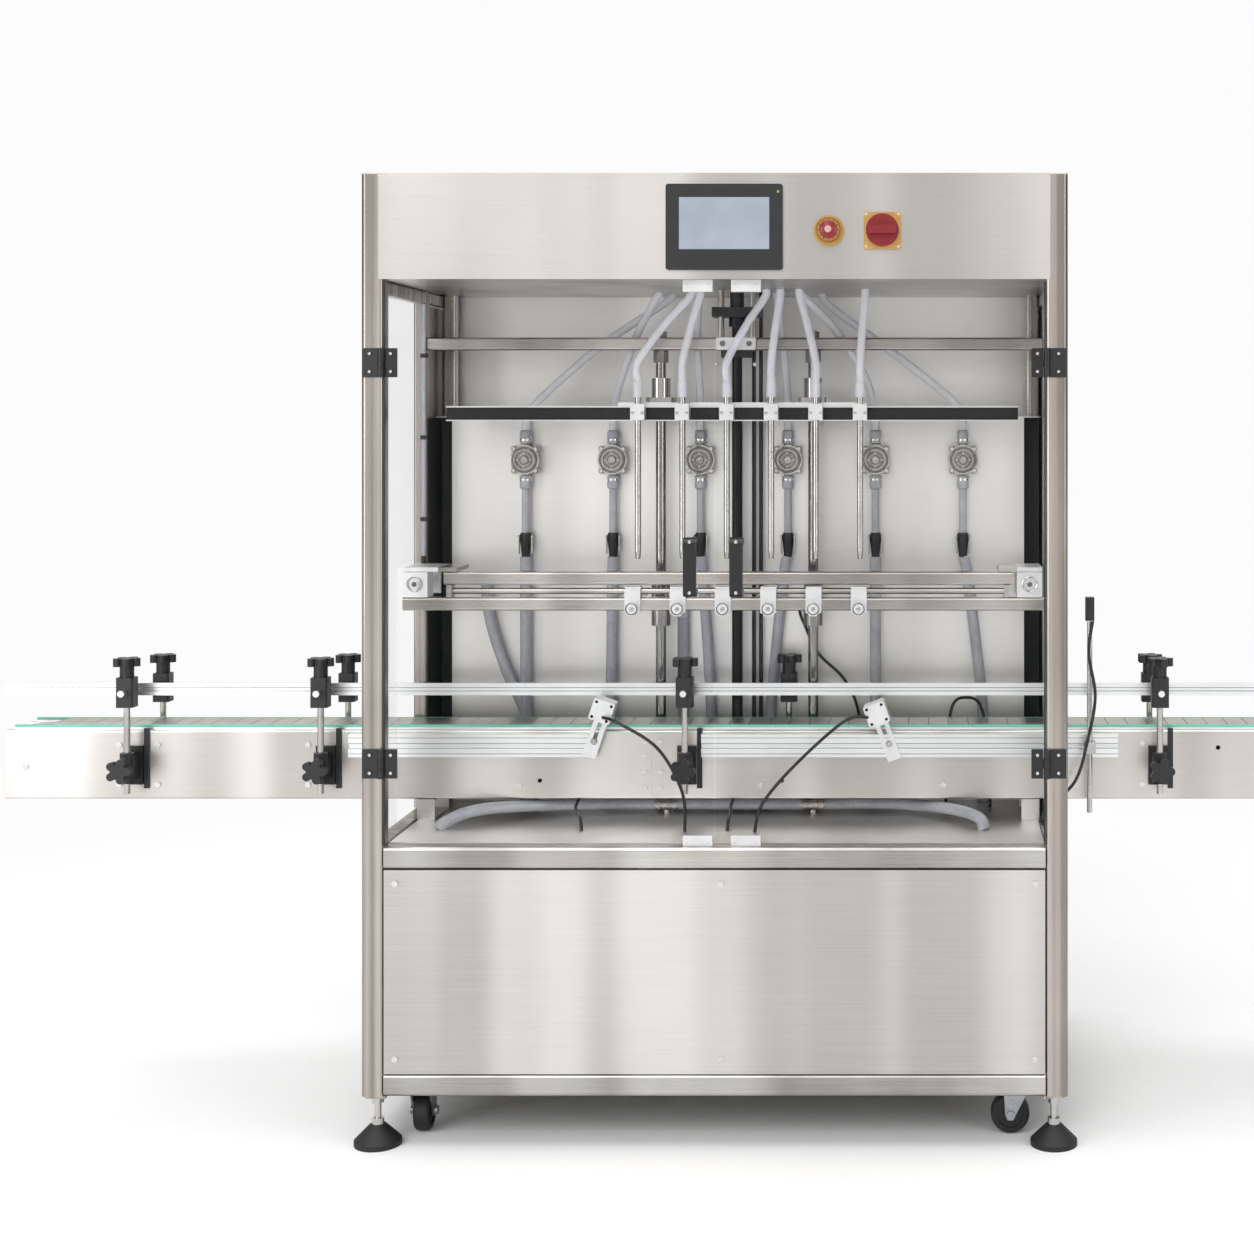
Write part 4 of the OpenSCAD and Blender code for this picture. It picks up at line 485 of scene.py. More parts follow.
# Aluminium, extruded: darker grey lines along the lips of the slots, painted shade of the grooves, drawn 1.1 mm wide so
# that they show
GROOVE_SHADE = Finish(
    name="painted_groove_shade", colour="#8c8f92", second="#6c6f72", metallic=1.0, roughness=0.42,
    grain_mm=0.8, stretch=80.0, rough_swing=0.05, relief_mm=0.02, cloud_mm=90.0,
)
# Nodes that are two materials in one drawn piece, and where they change
FRAME = Split(name="frame_rails_and_posts", below=BAR, above=POST, axis=Axis.X, at=0.5899, mirrored=True)
HOSE = Split(name="grey_low_and_clear_high_hose", below=PVC_GREY, above=PVC, axis=Axis.Z, at=1.2)
GUIDE = Split(name="beam_and_guide_block", below=BAR, above=BLOCK, axis=Axis.Z, at=0.9612)
SLIDE = Split(name="slide_bar_and_cheeks", below=BAR, above=BLOCK, axis=Axis.X, at=0.5495, mirrored=True)
STRIP = Split(name="guide_strip_white_and_green", below=ALUMINIUM_AND_EDGE_HIGHLIGHT, above=GREEN, axis=Axis.Z, at=0.7122)
FOOT = Split(name="foot_rubber_and_stem", below=RUBBER, above=SHAFT, axis=Axis.Z, at=0.0362)
FRONT_POST = Split(name="front_rod_and_block", below=SHAFT, above=NYLON, axis=Axis.Z, at=0.7573)
REAR_POST = Split(name="rear_rod_and_block", below=SHAFT, above=NYLON, axis=Axis.Z, at=0.7432)
HINGE = Split(name="hinge_leaf_and_catch", below=NYLON, above=BLOCK, axis=Axis.Y, at=-0.395)
DOOR_FITTING = Split(name="handle_and_strike", below=ABS_BLACK, above=BLOCK, axis=Axis.Y, at=-0.396)
COUPLING = Split(name="tee_and_quick_coupling", below=CAST, above=NYLON, axis=Axis.Z, at=0.9)
NOZZLE = Split(name="nozzle_tube_and_hose_cuff", below=SHAFT, above=PVC, axis=Axis.Z, at=1.3418)
CARRIAGE = Split(name="clamp_blocks_and_bearings", below=BLOCK, above=SHAFT, axis=Axis.Z, at=1.3325)
EYE = Split(name="eye_rod_and_head", below=SHAFT, above=NYLON, axis=Axis.Z, at=0.921)


def dress(node: str, finish: Finish | Split) -> None:
    """Gives a CAD node a finish, in every material slot that it has.

    Args:
        node: Name of the CAD node.
        finish: Its finish, or the two that it is split into.
    """
    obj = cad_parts[node]
    material = finish.build()
    if not obj.material_slots:
        obj.data.materials.append(material)
    for slot in obj.material_slots:
        slot.material = material
    log.info("dressed %s in %s", node, finish.name)


def circle(centre: Vector, u: Vector, v: Vector, radius: float, sides: int) -> list[Vector]:
    """Works out points round a centre.

    Args:
        centre: Middle of the circle.
        u: Unit direction of the first point.
        v: Unit direction a quarter turn on.
        radius: Radius of the circle.
        sides: How many points there are.

    Returns:
        The points in order.
    """
    turns = [2 * math.pi * k / sides for k in range(sides)]
    return [centre + (u * math.cos(turn) + v * math.sin(turn)) * radius for turn in turns]


@dataclass
class MeshMaker:
    """Collects rings and caps of one piece, then makes it an object."""

    verts: list[Vector] = field(default_factory=list)
    faces: list[tuple[int, ...]] = field(default_factory=list)

    def rings(self, loops: list[list[Vector]], cap: bool = True) -> None:
        """Adds a skin over rings of equal count.

        Args:
            loops: Rings from the first end to the last.
            cap: Whether the two ends are closed.
        """
        start = len(self.verts)
        count = len(loops[0])
        for loop in loops:
            self.verts.extend(loop)
        for r in range(len(loops) - 1):
            for k in range(count):
                n = (k + 1) % count
                a = start + r * count
                self.faces.append((a + k, a + n, a + count + n, a + count + k))
        if cap:
            self.faces.append(tuple(start + k for k in range(count))[::-1])
            last = start + (len(loops) - 1) * count
            self.faces.append(tuple(last + k for k in range(count)))

    def lathe(self, centre: Vector, axis: Vector, profile: Profile, sides: int = 24, ring: bool = False) -> None:
        """Adds a turned form.

        Args:
            centre: Place of the profile's zero.
            axis: Direction of the turning axis.
            profile: Pairs of radius and distance along the axis.
            sides: Points in each ring.
            ring: Whether the profile closes on itself round an open middle.
        """
        t = axis.normalized()
        u = t.orthogonal().normalized()
        v = t.cross(u)
        loops = []
        for radius, along in profile + profile[:1] * ring:
            loops.append(circle(centre + t * along, u, v, radius, sides))
        self.rings(loops, cap=not ring)

    def tube(self, path: list[Vector], radius: float, sides: int = 20) -> None:
        """Adds a round tube along a path, its frame carried from point to point.

        Args:
            path: Places on the tube's middle line.
            radius: Radius of the tube.
            sides: Points in each ring.
        """
        loops = []
        u = None
        for i, point in enumerate(path):
            ahead = path[min(i + 1, len(path) - 1)]
            behind = path[max(i - 1, 0)]
            t = (ahead - behind).normalized()
            u = t.orthogonal() if u is None else u - t * u.dot(t)
            u = u.normalized()
            loops.append(circle(point, u, t.cross(u), radius, sides))
        self.rings(loops)

    def slab(self, centre: Vector, size: Vector, edge: float) -> None:
        """Adds a block whose front and back edges are chamfered.

        Args:
            centre: Middle of the block.
            size: Its lengths along X, Y and Z.
            edge: Width of the chamfer.
        """
        x, y, z = size / 2
        loops = []
        for depth, inset in ((-y, edge), (edge - y, 0.0), (y - edge, 0.0), (y, edge)):
            w, h = x - inset, z - inset
            corners = ((-w, depth, -h), (w, depth, -h), (w, depth, h), (-w, depth, h))
            loops.append([centre + Vector(p) for p in corners])
        self.rings(loops)

    def make(self, name: str, finish: "Finish | Split", body: str, slot: str, smooth: bool = True) -> bpy.types.Object:
        """Turns the collected mesh into an object that rides on a body.

        Args:
            name: Object name.
            finish: Its surface.
            body: CAD body that it moves with.
            slot: Name of a material slot; not used.
            smooth: Whether faces are shaded smooth below a sharp angle.

        Returns:
            The new object.
        """
        mesh = bpy.data.meshes.new(name)
        mesh.from_pydata([tuple(v) for v in self.verts], [], self.faces)
        mesh.validate()
        mesh.materials.append(finish.build())
        obj = bpy.data.objects.new(name, mesh)
        bpy.context.scene.collection.objects.link(obj)
        if smooth:
            mesh.shade_smooth()
            mesh.set_sharp_from_angle(angle=math.radians(SHARP_DEG))
        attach(obj, body)
        log.info("made %s with %d faces", name, len(self.faces))
        return obj


def course(points: list[Point], steps: int) -> list[Vector]:
    """Smooth course through chosen points, the same rule as the CAD's own hoses.

    Args:
        points: Places in metres.
        steps: Pieces between each pair.

    Returns:
        The dense path.
    """
    p = [Vector(q) for q in points]
    path = []
    for i in range(len(p) - 1):
        a, b, c, e = p[max(i - 1, 0)], p[i], p[i + 1], p[min(i + 2, len(p) - 1)]
        for s in range(steps):
            t = s / steps
            bend = (2 * a - 5 * b + 4 * c - e) * t * t + (3 * b - a - 3 * c + e) * t**3
            path.append((2 * b + (c - a) * t + bend) / 2)
    path.append(p[-1])
    return path


def mm(x: float, setback: float, z: float) -> Vector:
    """Turns a place of the part's source into scene coordinates.

    Args:
        x: X in millimetres.
        setback: Distance behind the cabinet's front plane, in millimetres.
        z: Height in millimetres.

    Returns:
        The place in metres.
    """
    return Vector((x * MM, (setback - FRONT_MM) * MM, z * MM))


def place(route: list[Point]) -> list[Point]:
    """Turns a route of the part's source into scene coordinates.

    Args:
        route: Points of X, setback and height in millimetres.

    Returns:
        The same points in metres.
    """
    return [tuple(mm(*q)) for q in route]


@dataclass
class SocketScrew:
    """Cap or button screw with a hexagon socket.

    Args:
        head_mm: Head diameter.
        rise_mm: Head height.
    """

    head_mm: float
    rise_mm: float
    # Shares of the head's radius and height, from the seat over the rim into the socket
    head_shares: Profile = ((0.86, 0.0), (1.0, 0.15), (1.0, 0.72), (0.84, 1.0), (0.50, 1.0), (0.46, 0.45))
    floor_share: float = 0.40
    socket_floor: float = 0.0003
    sides: int = 18

    def add(self, maker: MeshMaker, place_at: Vector, out: Vector) -> None:
        """Adds one screw.

        Args:
            maker: Mesh that gets the screw.
            place_at: Centre of its seat.
            out: Direction that the head faces.
        """
        r, h = self.head_mm / 2 * MM, self.rise_mm * MM
        profile = [(r * across, h * up) for across, up in self.head_shares]
        maker.lathe(place_at, out, profile + [(self.socket_floor, h * self.floor_share)], self.sides)


def screws(name: str, places: list[tuple], out: Vector, kind: SocketScrew, finish: Finish, body: str) -> None:
    """Makes a set of screws as one piece.

    Args:
        name: Object name.
        places: Centres of the seats, in metres.
        out: Direction that the heads face.
        kind: Screw size.
        finish: Surface of the heads.
        body: CAD body they are fixed in.
    """
    maker = MeshMaker()
    for q in places:
        kind.add(maker, Vector(q), out)
    maker.make(name, finish, body, "screw_steel")


OUT = Vector((0.0, -1.0, 0.0))
UP = Vector((0.0, 0.0, 1.0))


@dataclass(frozen=True)
class Row:
    """Equal pieces side by side.

    Args:
        first: X of the first piece in millimetres.
        step: Distance between neighbours in millimetres.
        count: How many there are.
    """

    first: float
    step: float
    count: int = 6

    def places(self) -> list[float]:
        """Works out where the pieces stand.

        Returns:
            X of every piece, in millimetres.
        """
        return [self.first + i * self.step for i in range(self.count)]


PUMPS = Row(first=-421.0, step=174.1)
NOZZLES = Row(first=-180.0, step=85.8)


@dataclass
class Hoses:
    """Clear hoses of the pumps, the nozzles and the feed line, as smooth tubes."""

    small_mm: float = 15.5
    feed_mm: float = 22.0
    sleeve_mm: float = 24.0
    pump_z: float = 1219.0
    pump_back: float = 407.0
    deck_z: float = 537.0
    belt_z: float = 717.0
    ceiling_z: float = 1551.0
    port_h: float = 31.0
    clip_in: float = 0.006
    quick_z: float = 1026.0
    quick_h: float = 48.0
    stub_gap: float = 28.0
    nozzle_back: float = 291.0
    cuff_top: float = 1375.0
    lean: tuple[float, ...] = (0, -4, 22, -34, 0, 40)
    tops: tuple = (
        (
            (-421, 407, 1278),
            (-415, 408, 1310),
            (-382, 412, 1350),
            (-273, 424, 1447),
            (-150, 430, 1530),
            (-129, 430, 1551),
        ),
        ((-247, 407, 1278), (-245, 404, 1320), (-226, 398, 1390), (-193, 396, 1477), (-152, 396, 1551)),
        ((-73, 407, 1278), (-73, 405, 1340), (-78, 402, 1440), (-76, 402, 1551)),
        ((101, 407, 1278), (101, 405, 1340), (92, 402, 1440), (78, 402, 1551)),
        ((275, 407, 1278), (273, 404, 1320), (252, 398, 1390), (196, 396, 1477), (125, 396, 1551)),
        ((449, 407, 1278), (446, 408, 1310), (420, 412, 1345), (300, 424, 1440), (190, 430, 1520), (165, 430, 1551)),
    )
    nozzle_tops: tuple = ((-81, 300), (-61, 300), (65, 300), (94, 300), (132, 300), (258, 300))
    # Shares of the way sideways and upwards at each point of a nozzle hose
    nozzle_shares: tuple = ((0.0, 0.0), (0.0, 0.2), (0.5, 0.6), (1.0, 0.92), (1.0, 1.0))
    feed_left: tuple = (
        (-530, 150, 537),
        (-518, 159, 549),
        (-486, 184, 561),
        (-436, 212, 565),
        (-340, 268, 559),
        (-240, 300, 555),
        (-147, 300, 555),
    )
    feed_middle: tuple = ((-103, 300, 555), (136, 300, 555))
    feed_right: tuple = (
        (180, 300, 555),
        (260, 300, 556),
        (345, 288, 556),
        (430, 215, 561),
        (476, 160, 556),
        (484, 152, 537),
    )
    spare: tuple = ((-500, 410, 985), (-492, 410, 900), (-460, 410, 800), (-415, 410, 690), (-408, 410, 537))
    # Steps between two points of a route, for bent hoses, stubs and the middle feed line
    steps: int = 8
    stub_steps: int = 4
    middle_steps: int = 6
    sides: int = 24
    sleeve_sides: int = 28
    # Shares of the sleeve's radius, and distances along it in metres
    sleeve_form: Profile = ((0.7, 0), (1.0, 0.002), (1.0, 0.022), (0.92, 0.026), (0.68, 0.028))
    # How far the clip stands off the sleeve, and distances along it, in metres
    clip_form: Profile = ((0.0, 0), (0.0008, 0.0004), (0.0008, 0.0046), (0.0, 0.005))

    def build(self) -> None:
        """Makes every hose."""
        self.lines()
        self.nozzle_lines()
        self.sleeves()

    def lines(self) -> None:
        """Fixed hoses above and below the pumps, and the feed line on the deck."""
        maker = MeshMaker()
        small, feed = self.small_mm / 2 * MM, self.feed_mm / 2 * MM
        for x, lean, top in zip(PUMPS.places(), self.lean, self.tops):
            maker.tube(course(place(top), self.steps), small, self.sides)
            low = self.pump_z - self.port_h - self.stub_gap
            stub = [(x, self.pump_back, self.quick_z + self.quick_h), (x, self.pump_back, low)]
            maker.tube(course(place(stub), self.stub_steps), small, self.sides)
            route = [
                (x + lean, self.pump_back, self.deck_z),
                (x + lean, self.pump_back, self.belt_z),
                (x + lean / 4, self.pump_back, self.quick_z - 2 * self.feed_mm),
                (x, self.pump_back, self.quick_z),
            ]
            maker.tube(course(place(route), self.steps), feed, self.sides)
        for route in (self.feed_left, self.feed_right, self.spare):
            maker.tube(course(place(route), self.steps), feed, self.sides)
        maker.tube(course(place(self.feed_middle), self.middle_steps), feed, self.sides)
        obj = maker.make("clear_hose_runs", HOSE, "machine", "hose_clear")
        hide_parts("hoses")

    def nozzle_lines(self) -> None:
        """Hoses from the ceiling to the nozzles."""
        maker = MeshMaker()
        rise = self.ceiling_z - self.cuff_top
        for x, top in zip(NOZZLES.places(), self.nozzle_tops):
            route = [
                (x + (top[0] - x) * a, self.nozzle_back + (top[1] - self.nozzle_back) * a, self.cuff_top + rise * b)
                for a, b in self.nozzle_shares
            ]
            maker.tube(course(place(route), self.steps), self.small_mm / 2 * MM, self.sides)
        obj = maker.make("nozzle_hose_runs", PVC, "machine", "hose_clear")
        obj.parent = None
        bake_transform(obj)
        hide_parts("nozzle_hoses")

    def sleeves(self) -> None:
        """Milky push-on sleeves with a steel clip at each pump port."""
        soft, clip = MeshMaker(), MeshMaker()
        r = self.sleeve_mm / 2 * MM
        sleeve = [(r * share, along) for share, along in self.sleeve_form]
        band = [(r + proud, along) for proud, along in self.clip_form]
        for x in PUMPS.places():
            for side in (-1, 1):
                start = mm(x, self.pump_back, self.pump_z + side * self.port_h)
                away = UP * side
                soft.lathe(start, away, sleeve, self.sleeve_sides)
                clip.lathe(start + away * self.clip_in, away, band, self.sleeve_sides)
        soft.make("pump_port_sleeves", PVC_GREY, "machine", "hose_clear")
        clip.make("pump_port_clips", SCREW, "machine", "screw_steel")


@dataclass
class Cables:
    """Black cables, the trunks, the conduit and the air line."""

    cable_mm: float = 6.0
    gates: tuple = (
        ((-228, 170, 742), (-196, 150, 735), (-120, 134, 690), (-74, 130, 610), (-69, 130, 537)),
        ((268, 170, 742), (225, 152, 738), (135, 138, 660), (75, 130, 590), (60, 128, 537)),
    )
    loose: tuple = (
        ((-285, 246, 577), (-288, 225, 562), (-268, 160, 556), (-262, 140, 537)),
        ((8, 246, 577), (6, 215, 561), (8, 160, 552), (8, 140, 537)),
        (
            (415, 362, 537),
            (417, 362, 650),
            (428, 362, 735),
            (455, 362, 752),
            (484, 362, 735),
            (500, 362, 650),
            (502, 362, 537),
        ),
        (
            (125, 424, 925),
            (125, 402, 917),
            (136, 386, 892),
            (164, 386, 835),
            (217, 390, 780),
            (245, 395, 700),
            (250, 395, 537),
        ),
        (
            (690, 191, 920),
            (682, 186, 860),
            (694, 184, 780),
            (680, 180, 700),
            (656, 184, 620),
            (606, 205, 566),
            (592, 205, 537),
        ),
    )
    trunk_mm: float = 8.0
    trunk_x: tuple = (34.0, 48.0)
    trunk_back: float = 401.0
    conduit_mm: float = 25.0
    conduit_x: float = -107.0
    conduit_back: float = 407.0
    conduit_top: float = 925.0
    ribs: int = 84
    ribbed_share: float = 0.93
    # Share of the conduit's radius at its foot, then for each rib the shares and distances along it in metres
    foot_share: float = 0.9
    rib_form: Profile = ((1.0, 0.001), (1.0, 0.0028), (0.88, 0.0036))
    conduit_tip: float = 0.0005
    conduit_sides: int = 24
    # Shares of the conduit's radius and height round its gland
    gland_shares: Profile = ((0.88, 0.94), (1.02, 0.945), (1.02, 0.985), (0.8, 1.0))
    air_mm: float = 8.0
    air_x: float = -608.0
    air_back: float = 346.7
    air_low: float = 1014.0
    air_bend: float = 1280.0
    air_top: float = 1525.0
    air_socket: Profile = ((0.004, 0), (0.005, 0.001), (0.005, 0.016), (0.0042, 0.018))
    deck_z: float = 537.3
    ceiling_z: float = 1550.7
    clip_z: tuple = (1104.0, 1264.0, 1424.0)
    # The hose's clips: size and edge in metres, and how far off its middle they and the socket sit
    clip_size: tuple[float, float, float] = (0.013, 0.012, 0.008)
    clip_edge: float = 0.001
    clip_off_mm: float = 1.0
    socket_off_mm: float = 2.0
    socket_sides: int = 20
    # Steps between two points of a route, for the cables, the trunks and the hose
    steps: int = 8
    trunk_steps: int = 10
    air_steps: int = 6
    sides: int = 16
    thick_sides: int = 18

    def build(self) -> None:
        """Makes every cable and its clips."""
        maker = MeshMaker()
        for route in self.gates + self.loose:
            maker.tube(course(place(route), self.steps), self.cable_mm / 2 * MM, self.sides)
        for x in self.trunk_x:
            route = [(x, self.trunk_back, self.deck_z), (x, self.trunk_back, self.ceiling_z)]
            maker.tube(course(place(route), self.trunk_steps), self.trunk_mm / 2 * MM, self.thick_sides)
        obj = maker.make("black_cable_runs", CABLE, "machine", "black_plastic")
        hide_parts("cables")
        self.conduit()
        self.air_line()

    def conduit(self) -> None:
        """Grey corrugated conduit with a gland at its head."""
        maker = MeshMaker()
        r = self.conduit_mm / 2 * MM
        start = mm(self.conduit_x, self.conduit_back, self.deck_z)
        top = (self.conduit_top - self.deck_z) * MM
        profile = [(r * self.foot_share, 0.0)]
        for k in range(self.ribs):
            z = top * self.ribbed_share * k / self.ribs
            profile += [(r * share, z + up) for share, up in self.rib_form]
        profile += [(r * across, top * up) for across, up in self.gland_shares]
        profile += [(self.conduit_tip, top)]
        maker.lathe(start, UP, profile, self.conduit_sides)
        maker.make("corrugated_conduit", PVC_GREY, "machine", "hose_clear")

    def air_line(self) -> None:
        """Air hose on the left post with its clips and socket."""
        hose, clips = MeshMaker(), MeshMaker()
        x, s = self.air_x, self.air_back
        route = [(x, s, self.air_low), (x, s, self.air_bend), (x, s, self.air_top)]
        hose.tube(course(place(route), self.air_steps), self.air_mm / 2 * MM, self.thick_sides)
        hose.make("air_hose", PVC_GREY, "machine", "hose_clear")
        for z in self.clip_z:
            at = mm(x + self.clip_off_mm, s - self.clip_off_mm, z)
            clips.slab(at, Vector(self.clip_size), self.clip_edge)
        clips.lathe(mm(x, s - self.socket_off_mm, self.air_low), UP, self.air_socket, self.socket_sides)
        clips.make("air_hose_clips", NYLON, "machine", "black_plastic")


@dataclass
class Header:
    """Screen face, power lamp and the screws of the switch plate."""

    face_y: float = -0.4082
    screen_x: float = 0.018
    screen_z: float = 1.648
    screen_size: tuple[float, float, float] = (0.161, 0.0012, 0.093)
    screen_edge: float = 0.0003
    lamp_x: float = 0.114
    lamp_z: float = 1.704
    lamp_sunk: float = 0.0001
    lamp_form: Profile = ((0.0022, 0), (0.0022, 0.0002), (0.0014, 0.0009), (0.0003, 0.001))
    lamp_sides: int = 16
    switch_mm: Point = (299.4, -7.2, 1635.0)
    switch_screw_mm: float = 28.5
    switch_screw: SocketScrew = field(default_factory=lambda: SocketScrew(4.6, 1.0))

    def build(self) -> None:
        """Makes the screen, the lamp and the switch plate's screws."""
        face = MeshMaker()
        depth = self.screen_size[1]
        at = Vector((self.screen_x, self.face_y + depth, self.screen_z))
        face.slab(at, Vector(self.screen_size), self.screen_edge)
        face.make("screen_face", GLASS_SCREEN, "machine", "black_plastic")
        lamp = MeshMaker()
        at = Vector((self.lamp_x, self.face_y + self.lamp_sunk, self.lamp_z))
        lamp.lathe(at, OUT, self.lamp_form, self.lamp_sides)
        lamp.make("power_lamp", LAMP, "machine", "black_plastic")
        x, setback, z = self.switch_mm
        reach = (-self.switch_screw_mm, self.switch_screw_mm)
        corners = [tuple(mm(x + dx, setback, z + dz)) for dx in reach for dz in reach]
        screws("switch_plate_screws", corners, OUT, self.switch_screw, SCREW, "machine")


@dataclass
class Fixings:
    """Screws of the hinges, pumps, nozzle clamps, lift and handles."""

    small: SocketScrew = field(default_factory=lambda: SocketScrew(6.5, 3.6))
    cap: SocketScrew = field(default_factory=lambda: SocketScrew(8.5, 5.0))
    cover: SocketScrew = field(default_factory=lambda: SocketScrew(4.6, 1.6))
    clamp: SocketScrew = field(default_factory=lambda: SocketScrew(6.0, 3.0))
    handle: SocketScrew = field(default_factory=lambda: SocketScrew(6.0, 1.4))
    hinge_x: float = 592.0
    hinge_setback: float = -4.2
    hinge_z: tuple[float, float] = (1400.0, 686.0)
    hinge_dz: tuple[float, float] = (-16.0, 16.0)
    # Distances of the screws from the pin: in the fixed leaf and in the door's leaf
    fixed_leaf: float = 20.6
    door_leaf: float = 17.0
    handle_x: float = 41.0
    handle_setback: float = -30.0
    handle_z: tuple[float, float] = (992.5, 1082.5)
    pump_z: float = 1219.0
    ear_radius: float = 30.5
    ear_setback: float = 396.2
    cover_radius: float = 13.0
    cover_setback: float = 388.6
    # Screws round each circle of a pump head, the first ear screw and the turn to the next, in degrees
    round_head: int = 4
    ear_start: float = 45.0
    turn: float = 90.0
    clamp_dx: tuple[float, float] = (-9.2, 9.2)
    clamp_setback: float = 279.95
    clamp_z: float = 1312.0
    plate_x: tuple[float, float] = (-34.0, 42.0)
    plate_setback: float = 338.0
    plate_z: float = 1406.5

    def build(self) -> None:
        """Makes every set."""
        self.hinges()
        self.pumps()
        self.carriage()
        self.lift()
        self.handles()

    def hinges(self) -> None:
        """Two screws in each fixed leaf and each door leaf."""
        fixed = []
        moving = {"left_door": [], "right_door": []}
        for z in self.hinge_z:
            for dz in self.hinge_dz:
                for side, body in ((-1, "left_door"), (1, "right_door")):
                    height = z + dz
                    fixed.append(tuple(mm(side * (self.hinge_x + self.fixed_leaf), self.hinge_setback, height)))
                    moving[body].append(tuple(mm(side * (self.hinge_x - self.door_leaf), self.hinge_setback, height)))
        screws("hinge_screws_fixed", fixed, OUT, self.small, SCREW, "machine")
        for body, places in moving.items():
            screws("hinge_screws_" + body, places, OUT, self.small, SCREW, body)

    def handles(self) -> None:
        """A screw at each end of both door handles."""
        for body, side in (("left_door", -1), ("right_door", 1)):
            places = [tuple(mm(side * self.handle_x, self.handle_setback, z)) for z in self.handle_z]
            screws("handle_screws_" + body, places, OUT, self.handle, SCREW, body)

    def pumps(self) -> None:
        """Four cover screws and four ear screws on each pump head."""
        cover, ears = [], []
        for x in PUMPS.places():
            for k in range(self.round_head):
                a = math.radians(self.ear_start + self.turn * k)
                dx, dz = self.ear_radius * math.cos(a), self.ear_radius * math.sin(a)
                ears.append(tuple(mm(x + dx, self.ear_setback, self.pump_z + dz)))
                b = math.radians(self.turn * k)
                dx, dz = self.cover_radius * math.cos(b), self.cover_radius * math.sin(b)
                cover.append(tuple(mm(x + dx, self.cover_setback, self.pump_z + dz)))
        screws("pump_ear_screws", ears, OUT, self.cap, SCREW, "machine")
        screws("pump_cover_screws", cover, OUT, self.cover, SCREW, "machine")

    def carriage(self) -> None:
        """Two clamp screws in each nozzle clamp block."""
        places = [tuple(mm(x + dx, self.clamp_setback, self.clamp_z)) for x in NOZZLES.places() for dx in self.clamp_dx]
        screws("nozzle_clamp_screws", places, OUT, self.clamp, SCREW, "nozzle_carriage")

    def lift(self) -> None:
        """Plate screws of the lift motor."""
        places = [tuple(mm(x, self.plate_setback, self.plate_z)) for x in self.plate_x]
        screws("motor_plate_screws", places, OUT, self.cap, SCREW, "machine")


@dataclass
class LeadScrew:
    """Rolled thread of the lift screw, drawn paler than the black screw as painted highlight on its crests."""

    x: float = 0.004
    y: float = -0.0251
    radius: float = 0.010
    pitch: float = 0.005
    low: float = 0.560
    high: float = 1.335
    per_turn: int = 16
    # Corners of the ridge: distance from the screw's surface and height
    ridge: Profile = ((-0.0004, -0.0017), (0.0014, -0.0006), (0.0014, 0.0006), (-0.0004, 0.0017))

    def build(self) -> None:
        """Makes the thread as one helical ridge round the CAD screw."""
        maker = MeshMaker()
        turns = int((self.high - self.low) / self.pitch)
        loops = []
        for k in range(turns * self.per_turn + 1):
            a = 2 * math.pi * k / self.per_turn
            z = self.low + self.pitch * k / self.per_turn
            out = Vector((math.cos(a), math.sin(a), 0.0))
            base = Vector((self.x, self.y, z))
            loops.append([base + out * (self.radius + proud) + UP * up for proud, up in self.ridge])
        maker.rings(loops)
        # Painted highlight: the thread ridge is mid grey on the black screw
        maker.make("lead_screw_thread_highlight", THREAD_AND_CREST_HIGHLIGHT, "lift_spindle", "steel_dark")


@dataclass
class ChainDetail:
    """Hinge pins that show between the slats of the chain, and black fills in the hinge gaps as painted shade."""

    pitch: float = 0.0381
    top_slats: int = 68
    pin_z: float = 0.707
    lane_y: float = -0.109
    pin_out: float = 0.0192
    pin_form: Profile = ((0.0030, 0), (0.0034, 0.0004), (0.0034, 0.0016), (0.0026, 0.0022), (0.0003, 0.0023))
    pin_sides: int = 12
    gap_rise: float = 0.0084
    gap_size: tuple[float, float, float] = (0.0015, 0.0805, 0.0022)
    gap_edge: float = 0.0002

    def build(self) -> None:
        """Makes the pin heads, and the painted shade in the gaps of the upper run."""
        maker = MeshMaker()
        half = self.top_slats * self.pitch / 2
        for i in range(self.top_slats + 1):
            x = i * self.pitch - half
            for side in (-1, 1):
                start = Vector((x, self.lane_y + side * self.pin_out, self.pin_z))
                maker.lathe(start, Vector((0, side, 0)), self.pin_form, self.pin_sides)
        maker.make("chain_pin_heads", SCREW, "machine", "stainless")
        # Painted shade: black slabs in the hinge gaps, which lie in shade between the slats
        gaps = MeshMaker()
        for i in range(1, self.top_slats):
            at = Vector((i * self.pitch - half, self.lane_y, self.pin_z + self.gap_rise))
            gaps.slab(at, Vector(self.gap_size), self.gap_edge)
        gaps.make("chain_gap_painted_shade", GASKET_AND_GAP_SHADE, "machine", "rubber")


